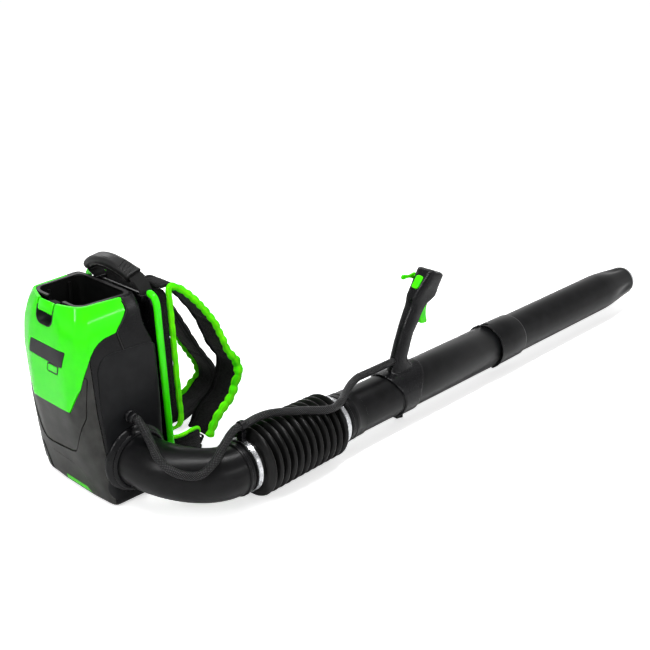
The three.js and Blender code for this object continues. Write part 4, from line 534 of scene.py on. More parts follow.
SKY_LIGHT = 0.42  # what the world gives to the object; the eye sees it white
FLOOR_TONE = 0.95
WHITE = (1, 1, 1)
world = bpy.data.worlds.new("studio")
world.use_nodes = True
sky = Tree(world.node_tree)
ray = sky.add("ShaderNodeLightPath").outputs
way = sky.add("ShaderNodeSeparateXYZ", Vector=sky.add("ShaderNodeTexCoord").outputs["Generated"])
dome = sky.ramp(way.outputs["Z"], 0.1, 0.6, 1.0, 0.3)  # gloss sees a white horizon and a dimmer ceiling
seen = sky.math("MAXIMUM", ray["Is Camera Ray"], ray["Is Transmission Ray"])
seen = sky.math("MAXIMUM", seen, sky.math("MULTIPLY", ray["Is Glossy Ray"], dome))
backdrop = sky.tree.nodes["Background"]
sky.feed(backdrop.inputs["Color"], WHITE)
sky.feed(backdrop.inputs["Strength"], sky.math("MAXIMUM", seen, SKY_LIGHT))
bpy.context.scene.world = world
bpy.context.scene.view_settings.view_transform = "Standard"

floor_bm = bmesh.new()
bmesh.ops.create_grid(floor_bm, x_segments=1, y_segments=1, size=30000)
floor_look = Nodes("floor", Roughness=0.7, Specular_IOR_Level=0.0, Base_Color=(FLOOR_TONE,) * 3, Emission_Color=WHITE)
eye = floor_look.add("ShaderNodeLightPath").outputs["Is Camera Ray"]
glow = 1.0 - FLOOR_TONE * SKY_LIGHT + 0.02  # brings the unshaded floor up to white for the eye alone
floor_look.set(Emission_Strength=floor_look.math("MULTIPLY", eye, glow))
floor = new_object("floor", floor_bm, floor_look.material)

# ---------------------------------------------------------------- housing form
LEVELS = [
    # height, rear edge (x, half), crown (x, half), side (x, half), front half, front x
    (0, -100, 112, -104.5, 50, -92, 124, 124, 32),
    (110, -124, 98, -130.7, 56, -108, 124, 124, 32),
    (216, -140, 85, -149, 58, -116, 115, 124, 32),
    (326, -141, 90, -150.8, 57, -120, 111, 119, 32),
    (376, -136, 89, -147.3, 50, -116, 105, 111, 13.5),
    (412, -128, 80, -141.1, 41, -111, 97, 103, 13),
    (432, -119, 69, -134, 33, -108, 81, 93.5, 8),
]
LEFT_REACH = 7.0  # how much further out the left side stands than the right
SPLIT_Y = -6.0
FAR = 400.0  # beyond the housing on any side
ABOVE = 440.0  # a height over the rim
COVER_SIDE = [(-FAR, 216), (-139, 216), (-138, 245), (-135, 270), (-131.5, 290), (-127, 309), (-122, 326),
              (-115.5, 341), (-106, 353.5), (-95, 362), (-81, 367.8), (-60, 371), (-54, 372), (-38, 389),
              (-24, 408), (-28, 860), (-FAR, 860)]
COVER_REAR = [(-64, 216), (64, 216), (86, 259), (130, 331), (130, 860), (-130, 860), (-130, 331), (-86, 259)]
REAR_COVER_SIDE = [(-FAR, -9), (-91, -9), (-107, 110), (-115, 216), (-119, 326), (-118, 345), (-FAR, 345)]
SIDE_SAMPLES = (12, 8, 7, 24, 20, 24, 7, 8)  # from the middle facet round the outline
BASE_ROUND = 13.0
CREASE_REACH = 4.0  # how far up and down the creases between levels are eased
EASE_PASSES, EASE_STEP, COLUMN_SHARE = 4, 0.6, 0.5  # how the skin's grid of points is eased


def level_at(z):
    """The outline's eight numbers at a height, with the creases between levels eased."""
    def plain(h):
        h = min(max(h, 0.0), RIM_Z)
        for low, high in zip(LEVELS, LEVELS[1:]):
            if h <= high[0]:
                t = (h - low[0]) / (high[0] - low[0])
                return [a + (b - a) * t for a, b in zip(low[1:], high[1:])]
        return list(LEVELS[-1][1:])

    spread = [plain(z + CREASE_REACH * k) for k in (-1, -0.5, 0, 0.5, 1)]
    weights = (1, 2, 2, 2, 1)
    return [sum(w * row[i] for w, row in zip(weights, spread)) / sum(weights) for i in range(8)]


def offset_outline(points, distance):
    """Moves each side of a closed outline outward, whichever way round it runs."""
    area = sum(a[0] * b[1] - b[0] * a[1] for a, b in zip(points, points[1:] + points[:1]))
    turn = 1 if area > 0 else -1
    count = len(points)
    out = []
    for i, (x, y) in enumerate(points):
        (px, py), (nx, ny) = points[i - 1], points[(i + 1) % count]
        la, lb = math.hypot(x - px, y - py), math.hypot(nx - x, ny - y)
        ax, ay = turn * (y - py) / la, -turn * (x - px) / la
        bx, by = turn * (ny - y) / lb, -turn * (nx - x) / lb
        reach = distance / max(1 + ax * bx + ay * by, 0.4)
        out.append((x + (ax + bx) * reach, y + (ay + by) * reach))
    return out


def round_corners(points, radius, steps=6):
    """Fillets every corner of a closed outline."""
    out, count = [], len(points)
    for i in range(count):
        p, a, b = Vector(points[i]), Vector(points[i - 1]), Vector(points[(i + 1) % count])
        to_a, to_b = (a - p), (b - p)
        cut = min(radius, to_a.length * 0.48, to_b.length * 0.48)
        start, end = p + to_a.normalized() * cut, p + to_b.normalized() * cut
        for k in range(steps + 1):
            t = k / steps
            q = start * (1 - t) ** 2 + p * (2 * t * (1 - t)) + end * t**2
            out.append((q.x, q.y))
    return out


def housing_outline(z, growth):
    rear_x, rear_half, crown_x, crown_half, side_x, side_half, front_half, front_x = level_at(z)
    corners = [(crown_x, crown_half), (crown_x, -crown_half), (rear_x, -rear_half), (side_x, -side_half),
               (front_x, -front_half), (front_x, front_half + LEFT_REACH), (side_x, side_half + LEFT_REACH),
               (rear_x, rear_half)]
    return offset_outline(corners, growth)


def housing_form(growth=0.0, low=0.0, high=RIM_Z):
    """Closed skin of the whole housing, its creases rounded by easing a dense grid of points."""
    heights = [0, 1.5, 4, 8, 13, 20] + [28 + 7.6 * k for k in range(52)] + [426, 429]
    grid = []
    for z in sorted({low, high} | {z for z in heights if low < z < high}):
        drop = max(BASE_ROUND - z, 0.0)
        inset = BASE_ROUND - math.sqrt(BASE_ROUND**2 - drop**2)
        corners = housing_outline(z, growth - inset)
        ring = []
        for k, count in enumerate(SIDE_SAMPLES):
            (ax, ay), (bx, by) = corners[k], corners[(k + 1) % 8]
            ring += [Vector((ax + (bx - ax) * i / count, ay + (by - ay) * i / count, z)) for i in range(count)]
        grid.append(ring)
    count = len(grid[0])
    for _ in range(EASE_PASSES):
        eased = []
        for k, ring in enumerate(grid):
            row = []
            for i, here in enumerate(ring):
                target = (ring[i - 1] + ring[(i + 1) % count]) / 2
                if 0 < k < len(grid) - 1:
                    above, below = grid[k + 1][i], grid[k - 1][i]
                    column = below.lerp(above, (here.z - below.z) / (above.z - below.z))
                    target = target.lerp(column, COLUMN_SHARE)
                moved = here.lerp(target, EASE_STEP)
                row.append(Vector((moved.x, moved.y, here.z)))
            eased.append(row)
        grid = eased
    return bm_loft(grid)


def solid(bm):
    return new_object("work", bm, None)


def cut_prism(outline, axis, low, high):
    return solid(bm_prism(outline, axis, low, high))


def copy_of(obj):
    new = obj.copy()
    new.data = obj.data.copy()
    bpy.context.scene.collection.objects.link(new)
    return new


def cover_region(growth):
    region = cut_prism(offset_outline(COVER_SIDE, growth), "y", -FAR, FAR)
    return boolean(region, cut_prism(offset_outline(COVER_REAR, growth), "x", -FAR, FAR), "INTERSECT")


def rear_region(growth):
    return cut_prism(offset_outline(REAR_COVER_SIDE, growth), "y", -FAR, FAR)


def scoop_outline(inset):
    """The finger scoop under the latch, seen from behind."""
    half, bottom, corner = 29.0 - inset, 384.0 + inset, 18.0 - inset
    arc = [(half - corner + corner * math.cos(a), bottom + corner - corner * math.sin(a))
           for a in [math.pi / 2 * i / 10 for i in range(11)]]
    return [(half, ABOVE)] + arc + [(-y, z) for y, z in reversed(arc)] + [(-half, ABOVE)]


def finish(obj, name, material, smooth=32.0):
    obj.name = name
    obj.data.name = name
    obj.data.materials.clear()
    obj.data.materials.append(material)
    shade(obj, smooth)
    return obj


WALL = 7.0
PANEL_DEPTH, BADGE_DEPTH, MOAT_DEPTH = 1.6, 2.8, 4.8
OUTLET_BORE = 57.0
INTAKE_BORE, FAN_CENTRE = 56.3, (0, 22.3, 150)
BAY_EDGE = [(-110, 60.5), (-110, -60.5), (-99, -71.5), (0.5, -76), (0.5, 86), (-99, 78)]
BAY_FLOOR_Z, RIM_LOW_Z = 235.5, 420.0

skin = solid(housing_form())
relief = {depth: solid(housing_form(-depth)) for depth in (PANEL_DEPTH, BADGE_DEPTH, MOAT_DEPTH)}
inner = solid(housing_form(-WALL, WALL, ABOVE))
bay_opening = round_corners(BAY_EDGE, 16)
shell = copy_of(skin)
boolean(shell, copy_of(inner))
boolean(shell, cut_prism(scoop_outline(0), "x", -FAR, -113.2))
boolean(shell, cut_prism(round_corners(offset_outline(BAY_EDGE, 7.3), 18), "z", 427.4, 460))
boolean(shell, cut_prism(bay_opening, "z", RIM_LOW_Z, 460))
boolean(shell, cylinder(-300, 0, OUTLET_BORE, (OUTLET_X, 0, OUTLET_Z), "y", 64))
boolean(shell, cylinder(0, 90, INTAKE_BORE, FAN_CENTRE, "x", 48))


def behind(outline):
    """A cutter over the housing's rear, from an outline seen from behind."""
    return cut_prism(outline, "x", -FAR, 0)


def recess(target, cutter, depth):
    """Sinks what the cutter covers into the skin."""
    boolean(cutter, copy_of(relief[depth]))
    boolean(target, cutter)


top_cover = boolean(copy_of(shell), cover_region(-SEAM / 2), "INTERSECT")
BADGE = [(57, 315), (47.5, 346), (-66, 345.5), (-55.5, 311)]
BADGE_TAB = [(-3, 290.5), (-8, 310.5), (-45.5, 311.5), (-39, 291)]
for outline in (BADGE, BADGE_TAB):
    recess(top_cover, behind(round_corners(offset_outline(outline, 0.9), 5)), BADGE_DEPTH)
stand_for(finish(top_cover, "top_cover_skin", green), "housing", "cover_green", "top_cover")

rear_cover = boolean(copy_of(shell), rear_region(-SEAM / 2), "INTERSECT")
boolean(rear_cover, cover_region(SEAM / 2))
UPPER_PANEL = [(110, 300), (-106, 300), (-97, 206), (-75, 162), (-60, 131), (-52, 120), (-40, 113.7), (4, 108.5),
               (46, 105.5), (66, 108), (77, 119), (81, 134), (92, 200)]
LOWER_PANEL = [(105, 86), (60, 83.5), (8, 80.2), (-24, 78), (-38, 71.5), (-51, 54), (-71, 20), (-78, 4), (96, 4),
               (100, 56)]
for outline in (LOWER_PANEL, UPPER_PANEL):
    recess(rear_cover, behind(round_corners(outline, 9)), PANEL_DEPTH)
    moat = behind(round_corners(outline, 9))  # a deeper groove that draws the panel's edge
    boolean(moat, cut_prism(round_corners(offset_outline(outline, -3.0), 6), "x", -FAR - 1, 1))
    recess(rear_cover, moat, MOAT_DEPTH)
stand_for(finish(rear_cover, "rear_cover_skin", charcoal), "housing", "cover_charcoal", "rear_cover")

sides = copy_of(shell)
boolean(sides, cover_region(SEAM / 2))
boolean(sides, rear_region(SEAM / 2))
for side, label in SIDES[::-1]:
    near, far = SPLIT_Y + side * SEAM / 2, side * FAR
    half = solid(box(-FAR, FAR, min(near, far), max(near, far), -5, 500))
    half_shell = boolean(copy_of(sides), half, "INTERSECT")
    stand_for(finish(half_shell, f"{label}_shell_skin", black), "housing", "shell_black", f"{label}_shell")


def plate_on_skin(name, outline, depth, proud, material, slot):
    """A thin plate that follows the housing's rear, from under the skin to a little above it."""
    plate = behind(outline)
    boolean(plate, solid(housing_form(proud)), "INTERSECT")
    boolean(plate, solid(housing_form(-depth)))
    stand_for(finish(plate, name, material), "housing", slot)


BADGE_TAB_FIELD = offset_outline(BADGE_TAB, -3.0)
STRIPE = [(36.5, 10), (34.5, 23.4), (-40.5, 22.8), (-50, 11)]
plate_on_skin("rear_badge_plate", round_corners(BADGE, 5), 2.2, 0.3, slate, "cover_charcoal")
plate_on_skin("rear_badge_tab", round_corners(BADGE_TAB, 5), 2.2, -0.2, slate, "cover_charcoal")
plate_on_skin("rear_badge_tab_field", round_corners(BADGE_TAB_FIELD, 2.5), 2.0, 0.3, green, "cover_green")
plate_on_skin("rear_stripe", STRIPE, 3.0, -1.2, green_satin, "cover_green")
SIDE_PANEL = [(-107, 14), (-105, 117), (-106.5, 205), (-107.5, 250), (-105, 335.5), (40, 334.5), (40, 14)]
# the side panels take the lighter copy of the black plastic: painted light, which sets them apart from the darker
# shell band round them
for side, label in SIDES:
    panel = cut_prism(round_corners(SIDE_PANEL, 38, 12), "y", *((-FAR, -60) if side < 0 else (60, FAR)))
    boolean(panel, solid(housing_form(1.5)), "INTERSECT")
    boolean(panel, solid(housing_form(-0.6)))
    boolean(panel, cylinder(-300, 0, OUTLET_BORE - 0.1, (OUTLET_X, 0, OUTLET_Z), "y", 64))
    bevel(panel, 1.3, 3, 40)
    stand_for(finish(panel, f"side_panel_{label}", panel_black_painted_light, 40), "housing", "shell_black")


# ---- battery bay and latch ----
def latch_notch():
    """Leaves room for the latch in the bay's rear edge."""
    return solid(box(-FAR, -99, -26.5, 26.5, RIM_LOW_Z, ABOVE))


rim = boolean(copy_of(skin), solid(box(-FAR, FAR, -FAR, FAR, 428.2, ABOVE)), "INTERSECT")
rim_outer = round_corners(offset_outline(BAY_EDGE, 6.5), 18)
boolean(rim, cut_prism(rim_outer, "z", RIM_LOW_Z, ABOVE), "INTERSECT")
boolean(rim, cut_prism(bay_opening, "z", RIM_LOW_Z, ABOVE))
boolean(rim, latch_notch())
stand_for(finish(rim, "battery_bay_rim", grey), "housing", "rim_grey", "battery_bay")

tub = cut_prism(round_corners(offset_outline(BAY_EDGE, 2.0), 17), "z", BAY_FLOOR_Z, 430.6)
boolean(tub, cut_prism(round_corners(BAY_EDGE, 15.5), "z", BAY_FLOOR_Z + 2.5, ABOVE))
boolean(tub, latch_notch())
stand_for(finish(tub, "battery_bay_tub", board), "housing", "shell_black")
for number, (x, y) in enumerate([(-84, 72), (-30, 79.5), (-84, -72), (-30, -79.5)]):
    rail = bm_prism([(x + a, y + b) for a, b in rounded(7, 5, 2.0, 3)], "z", 240, 422)
    stand_for(new_object(f"battery_guide_rail_{number + 1}", rail, board), "housing", "shell_black")

LATCH_PIN = (-123, 0, 404)
pocket = cut_prism(scoop_outline(0.5), "x", -200, -113.5)
boolean(pocket, cut_prism(scoop_outline(2.6), "x", -200, -115.7))
boolean(pocket, copy_of(skin), "INTERSECT")
boolean(pocket, solid(box(-FAR, FAR, -FAR, FAR, RIM_LOW_Z, 500)))
boolean(pocket, cylinder(-40, 40, 1.8, LATCH_PIN, "y", 24))
stand_for(finish(pocket, "latch_scoop_pocket", slate), "housing", "shell_black", "latch_pocket")

LATCH_SIDE = [(-130.6, 431.8), (-133.6, 432.2), (-138.4, 422), (-140.4, 412.5), (-139.4, 409.4), (-136.4, 408.2),
              (-128.5, 399.2), (-121, 398.2), (-118.6, 401.5), (-119.2, 406.5), (-125, 409.5), (-134.6, 413),
              (-134.6, 421)]
latch = new_object("battery_latch_lever", bm_prism(LATCH_SIDE, "y", -24.3, 24.3), green)
apply_all(bevel(latch, 1.0, 2, 30))
boolean(latch, cylinder(-40, 40, 1.85, LATCH_PIN, "y", 24))
for side in (-1, 1):
    boolean(latch, solid(box(-132, -110, side * 18 - 8, side * 18 + 8, 390, 415)))
shade(latch, 40)
stand_for(latch, "latch", "cover_green", "battery_latch")
for k in range(3):
    x, z = -140.9 + 0.9 * k, 411.4 + 3.4 * k
    add_piece(f"battery_latch_grip_{k + 1}", box(x, x + 2.5, -16, 16, z, z + 1.4), green, 40, (0.6, 2), "latch",
              "cover_green")
CATCH_SIDE = [(-134, 419.5), (-134, 424.5), (-109, 424.5), (-112, 418.5)]
add_piece("battery_latch_catch", bm_prism(CATCH_SIDE, "y", -11, 11), board, 40, (0.8, 3, 30), "latch", "shell_black")


# ---------------------------------------------------------------- on the skin
skin_tree = BVHTree.FromObject(skin, bpy.context.evaluated_depsgraph_get())


def on_right_side(x, z, lift):
    """The point over the housing's right side at a place seen from the side, millimetres."""
    hit, normal, _, _ = skin_tree.ray_cast(Vector((x * MM, -0.3, z * MM)), Vector((0, 1, 0)))
    return (hit + normal * lift * MM) / MM


BEAD = [(-24, 427), (-21, 409), (-29, 398), (-38, 387.5), (-48, 377), (-51.5, 371), (-49, 356), (-45, 340), (-40, 318),
        (-36, 300), (-31, 281)]
bead_line = even(spline([(x, z, 0) for x, z in BEAD], 120), 3)
for name, lift, width, height, material in (("groove", 0.15, 5.4, 0.7, board), ("bead", 0.5, 2.3, 1.5, grey)):
    points = [on_right_side(p.x, p.y, lift) for p in bead_line]
    strip = sweep(f"side_joint_{name}", points, rounded(height, width, height * 0.45, 3), material, (0, -1, 0))
    stand_for(strip, "housing", "shell_black")
for scrap in (skin, inner, shell, sides, *relief.values()):
    bpy.data.objects.remove(scrap)

# ---------------------------------------------------------------- outlet collar and cable gland
def lathe_piece(name, profile, origin, axis, material, body, slot, *replaced, sides=ROUND):
    obj = new_object(name, bm_lathe(profile, origin, axis, sides), material, 35)
    return stand_for(obj, body, slot, *replaced)


def take_in(bm, piece, matrix):
    """Adds a piece to a mesh, moved by a matrix."""
    bmesh.ops.transform(piece, matrix=matrix, verts=piece.verts)
    mesh = bpy.data.meshes.new("part")
    piece.to_mesh(mesh)
    piece.free()
    bm.from_mesh(mesh)
    bpy.data.meshes.remove(mesh)


# stations run away from the housing along -Y
COLLAR_PROFILE = [(6, 57), (6, 72.5), (1, 73.2), (-2.6, 72.6), (-4.6, 71), (-9, 66.8), (-10.4, 65.2), (-10.8, 63.2),
                  (-12, 63.2), (-12.4, 64.6), (-13.6, 64.9), (-15.4, 63.8), (-17.2, 61.8), (-18, 60.6), (-18, 57)]
lathe_piece("outlet_collar_ring", COLLAR_PROFILE, (OUTLET_X, SIDE_Y, OUTLET_Z), "y", black, "housing", "shell_black",
            "outlet_collar")

GLAND = (-47.0, SIDE_Y, 194.0)
GLAND_PROFILE = [(6, 2), (6, 14), (-3.6, 14), (-5, 13.2), (-5.6, 12.4), (-6.4, 12.4), (-7, 13.2), (-14.5, 12.6),
                 (-17, 12), (-18.6, 11), (-19, 10), (-19, 9.4), (-8, 9.4), (-8, 2)]
lathe_piece("cable_gland_body", GLAND_PROFILE, GLAND, "y", black, "housing", "shell_black", "cable_gland", sides=48)
nut_ridges = bmesh.new()
for a in turns(24):
    ridge = bm_prism([(0.9, -7.6), (0.9, -14), (-0.9, -14), (-0.9, -7.6)], "z", 12.2, 13.4)
    take_in(nut_ridges, ridge, Matrix.Translation(GLAND) @ Matrix.Rotation(a, 4, "Y"))
stand_for(new_object("cable_gland_nut_grips", nut_ridges, black, 30), "housing", "shell_black")

# ---------------------------------------------------------------- elbow
ELBOW_START_Y = -142.3
ELBOW_BEND = [Vector((OUTLET_X, ELBOW_START_Y, OUTLET_Z)), Vector((OUTLET_X, ELBOW_START_Y - 72, OUTLET_Z)),
              Vector((20, TUBE_Y, TUBE_Z)), Vector((84, TUBE_Y, TUBE_Z))]


def bend(t):
    """Place and heading of the elbow's axis, a cubic curve, at t from 0 to 1."""
    a, b, c, d = ELBOW_BEND
    point = a * (1 - t) ** 3 + b * (3 * t * (1 - t) ** 2) + c * (3 * t * t * (1 - t)) + d * t**3
    slope = (b - a) * (3 * (1 - t) ** 2) + (c - b) * (6 * t * (1 - t)) + (d - c) * (3 * t * t)
    return point, slope.normalized()


def ring_at(centre, forward, radius):
    up = (Vector((0, 0, 1)) - forward * forward.z).normalized()
    across = up.cross(forward)
    return [centre + across * a + up * b for a, b in circle(radius, ROUND)]


def elbow_skin():
    """Outside from the collar round to the spigot under the hose, then back along the bore."""
    def at_outlet(profile):
        return [ring_at(Vector((OUTLET_X, y, OUTLET_Z)), Vector((0, -1, 0)), r) for r, y in profile]

    def on_line(profile):
        return [ring_at(Vector((x, TUBE_Y, TUBE_Z)), Vector((1, 0, 0)), r) for r, x in profile]

    steps = 49
    spigot = [(55, 83), (55.4, 83.8), (57.6, 84.2), (58.1, 85), (58.1, 90), (57.6, 90.8), (56.6, 91.3), (56.6, 98.2),
              (56.1, 99), (52.6, 99.6), (52.3, 100.4), (52.3, 122)]
    rings = at_outlet([(56.3, -127), (56.3, ELBOW_START_Y + 0.4), (55.7, ELBOW_START_Y - 0.6)])
    rings += [ring_at(*bend(i / steps), 55.0) for i in range(1, steps)]
    rings += on_line(spigot + [(49.3, 122), (49.3, 100), (52, 84)])
    rings += [ring_at(*bend(i / steps), 52.0) for i in range(steps - 1, 0, -4)]
    return bm_loft(rings + at_outlet([(52.0, ELBOW_START_Y), (52.0, -127)]), wrap=True)


stand_for(new_object("elbow_duct", elbow_skin(), tube_black, 35), "elbow", "shell_black", "elbow")

# ---------------------------------------------------------------- bellows and its bands
BELLOWS_X0, BELLOWS_X1, FOLDS = 126.0, 362.0, 12
FIRST_PEAK, LAST_PEAK, FOLD_DEPTH = 77, 72.5, 14.0


def bellows_profile():
    pitch = (BELLOWS_X1 - BELLOWS_X0) / FOLDS
    points = [(104, 52.6), (104, 55.2), (104.6, 55.6), (124.5, 55.6), (BELLOWS_X0 - 0.4, 58)]
    for k in range(FOLDS):
        peak = FIRST_PEAK + (LAST_PEAK - FIRST_PEAK) * k / (FOLDS - 1)  # the folds grow smaller toward the tube
        valley = peak - FOLD_DEPTH
        for s in range(15):
            t = s / 15 + 0.02
            lift = (0.5 - 0.5 * math.cos(2 * math.pi * t)) ** 0.72  # broad crests, narrow valleys
            points.append((BELLOWS_X0 + pitch * (k + t), valley + (peak - valley) * lift))
    points += [(BELLOWS_X1 + 0.5, 58), (BELLOWS_X1 + 2, 55.6), (383.4, 55.6), (384, 55.2), (384, 52.6),
               (360, 52.6), (354, 58), (244, 60), (134, 58), (128, 52.6)]
    return points


bellows = new_object("bellows_hose", bm_lathe(bellows_profile(), LINE, "x", 80), rubber, 50)
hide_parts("bellows")


def clamp_band(name, x, body, node):
    """Worm-drive clamp: rolled edges, a row of slots and the screw housing underneath."""
    r = 55.95  # inside of the band
    profile = [(x - 5.5, r), (x - 5.5, r + 1.5), (x - 5, r + 1.8), (x - 4.2, r + 1.5), (x - 3.6, r + 0.9),
               (x + 3.6, r + 0.9), (x + 4.2, r + 1.5), (x + 5, r + 1.8), (x + 5.5, r + 1.5), (x + 5.5, r)]
    bm = bm_lathe(profile, LINE, "x")
    slot = [(x - 2.9, -0.9), (x + 2.9, -0.3), (x + 2.9, 0.9), (x - 2.9, 0.3)]
    screw = [(x - 8.5, 0.2), (x - 8.5, 3.4), (x - 7, 3.6), (x + 6, 3.6), (x + 7, 3), (x + 7, 0.2)]
    parts = [(9.0 * k, bm_prism(slot, "z", r + 0.5, r + 1.25)) for k in range(30)]
    parts += [(180, bm_lathe(screw, (0, 0, r + 4.2), "x", 20)), (180, box(x - 5.6, x + 5.6, -6.5, 6.5, r + 1, r + 5))]
    for angle, piece in parts:
        take_in(bm, piece, Matrix.Translation(LINE) @ Matrix.Rotation(math.radians(angle), 4, "X"))
    stand_for(new_object(name, bm, steel, 30), body, "steel_bright", node)


BAND_REAR_X, BAND_FRONT_X = 112.0, 373.5
clamp_band("hose_clamp_rear", BAND_REAR_X, "elbow", "clamp_band_rear")
clamp_band("hose_clamp_front", BAND_FRONT_X, "tube", "clamp_band_front")

# ---------------------------------------------------------------- straight tubes
CONNECTOR = [(366, 49.3), (366, 52.3), (384.3, 52.3), (384.3, 56), (385, 56.7), (391.4, 56.7), (392.3, 56),
             (392.9, 54.6), (400.4, 54.6), (401.2, 55.2), (402, 55.9), (409, 55.9), (410.4, 55.4), (411.6, 54.8),
             (435.4, 54.8), (436, 54.2), (436, 52.8), (410, 52.8), (410, 49.3)]
lathe_piece("tube_connector_cuff", CONNECTOR, LINE, "x", tube_black, "tube", "shell_black", "tube_connector")
REAR = [(410.3, 50.3), (410.3, 52.5), (559.2, 52.5), (559.7, 52), (559.7, 50.7), (588, 50.7), (588, 48.5), (552, 48.5),
        (552, 50.3)]
lathe_piece("rear_tube_pipe", REAR, LINE, "x", tube_black, "tube", "shell_black", "rear_tube")
MIDDLE = [(560, 51), (560, 52.8), (560.5, 53.2), (984.4, 53.2), (985, 52.8), (985, 51)]
lathe_piece("middle_tube_pipe", MIDDLE, LINE, "x", tube_black, "tube", "shell_black", "middle_tube")
for turn, word in ((0, "upper"), (math.pi, "lower")):
    lug = box(946, 958, -4.5, 4.5, 52.4, 56.2)
    bmesh.ops.rotate(lug, matrix=Matrix.Rotation(turn, 3, "X"), verts=lug.verts)
    bmesh.ops.translate(lug, vec=LINE, verts=lug.verts)
    add_piece(f"bayonet_lug_{word}", lug, tube_black, 30, (0.6, 2), "tube", "shell_black")


# (station, radius, how far in the mouth's four flutes go)
SLEEVE = [(939, 56, 0), (939, 57.4, 0), (939.8, 58, 0), (944, 58, 0), (944.8, 57.4, 0), (945.4, 56.6, 0),
          (990, 56.1, 0), (1043, 55.5, 0), (1045, 55, 0), (1047.4, 53.2, 0), (1049.5, 52.2, 0), (1052, 52, 0),
          (1200, 52, 0), (1350, 52, 0), (1462, 52, 0)]
MOUTH = [(1470, 52.0, 0), (1484, 51.6, 0), (1498, 50.8, 0.05), (1512, 49.8, 0.2), (1526, 48.4, 0.42),
         (1540, 47.1, 0.66), (1554, 45.8, 0.85), (1568, 44.4, 0.95), (1580, 43.3, 0.8), (1590, 42.4, 0.5),
         (1599, 41.7, 0.2), (1606, 41.2, 0.05), (1611.2, 41, 0), (1612, 40.4, 0)]
BORE = [(1612, 38.8, 0), (1598, 38.8, 0), (1568, 42, 0.85), (1512, 47.6, 0), (1470, 49.8, 0), (985.6, 49.8, 0),
        (985.4, 53.7, 0), (939, 53.7, 0)]
FLUTE_DEPTH = 5.0


def nozzle_ring(x, radius, share):
    out = []
    for a in turns(ROUND * 2):
        r = radius - FLUTE_DEPTH * share * max(0.0, math.cos(4 * a)) ** 2
        out.append((x, TUBE_Y + r * math.cos(a), TUBE_Z + r * math.sin(a)))
    return out


def sleeve_sector(x0, x1, a0, a1):
    """A piece of the sleeve's wall between two stations and two angles, in degrees from the top."""
    count = 12
    angles = [math.radians(a0 + (a1 - a0) * i / count) for i in range(count + 1)]
    section = [(52.9, a) for a in angles] + [(62, a) for a in angles[::-1]]
    return bm_loft([[(x, r * math.sin(a), r * math.cos(a)) for r, a in section] for x in (x0, x1)])


nozzle = solid(bm_loft([nozzle_ring(*p) for p in SLEEVE + MOUTH + BORE], wrap=True))
for angle in (0, math.pi):
    # an L-shaped bayonet track, for the lug to turn in and to enter by
    for track in (sleeve_sector(945.6, 958.4, -5.2, 27.2), sleeve_sector(930, 947, 16.8, 27.2)):
        matrix = Matrix.Translation(LINE) @ Matrix.Rotation(angle, 4, "X")
        bmesh.ops.transform(track, matrix=matrix, verts=track.verts)
        boolean(nozzle, solid(track))
stand_for(finish(nozzle, "nozzle_tube_body", tube_black, 30), "nozzle", "shell_black", "nozzle_tube")
WEAR = [(1600, 36.7), (1600, 38.5), (1621, 38.5), (1622, 38.1), (1622.2, 37.2), (1621.4, 36.7)]
lathe_piece("nozzle_metal_ring", WEAR, LINE, "x", steel, "nozzle", "steel_bright", "nozzle_wear_ring")

# ---------------------------------------------------------------- control handle
GRIP_LEVELS = [
    # height above the tube's axis, rear x, front x, half width, squareness, crown of the rear face
    (46, 556, 650, 24, 2.2, 0), (52, 561, 642, 21.8, 2.2, 0), (58, 565, 636, 20, 2.2, 0), (72, 572, 624, 18, 2.2, 0),
    (84, 576.5, 621, 17.5, 2.2, 0), (98, 581.5, 626, 17.5, 2.3, 0), (118, 588, 632, 17.5, 2.3, 0),
    (140, 597, 641, 17.5, 2.3, 0), (158, 604, 655, 18, 2.4, 0), (180, 615.5, 668, 18, 2.6, 0),
    (190, 621, 675, 18.2, 2.8, 0.5), (198, 626, 684, 18.5, 3, 1), (204, 628.6, 700, 18.8, 3.6, 1.6),
    (209, 630.5, 712.5, 19, 4, 2), (222, 633, 717, 19.5, 5, 4), (231, 639, 719.5, 20.5, 5, 7),
    (244, 650.3, 724.6, 22.8, 5, 7.6), (257, 661.5, 730, 24.8, 5, 8), (264, 667.5, 722, 24.8, 5, 7.6),
    (270, 673, 703, 24.2, 5, 7), (274, 676.2, 697, 23.4, 4.5, 5), (277, 679, 692, 21.6, 4, 3),
]
TUBE_AXIS = Vector((0, TUBE_Y, TUBE_Z))
RING_RADIUS, RING_REAR_X, RING_FRONT_X = 57, 566, 617


def grip_form():
    rings = []
    for z, x0, x1, half, power, crown in GRIP_LEVELS:
        ring = []
        for a in turns(56):
            c, s = math.cos(a), math.sin(a)
            u = math.copysign(abs(c) ** (2 / power), c)
            v = math.copysign(abs(s) ** (2 / power), s)
            inset = crown * abs(v) ** 2.4 if u < 0 else 0.0
            ring.append(TUBE_AXIS + Vector(((x0 + x1) / 2 + u * (x1 - x0) / 2 + inset, v * half, z)))
        rings.append(ring)
    return bm_loft(rings)


def handle_ring():
    """The sliding ring's outside, its edges swept backward and forward over the top."""
    rings = []
    for s in range(25):
        share = s / 24
        ring = []
        for a in turns(ROUND):
            high = max(math.sin(a), 0.0)
            rear = RING_REAR_X - 28 * high**1.3
            front = RING_FRONT_X + 46 * high**1.5
            ring.append((rear + (front - rear) * share, TUBE_Y + RING_RADIUS * math.cos(a),
                         TUBE_Z + RING_RADIUS * math.sin(a)))
        rings.append(ring)
    return bm_loft(rings)


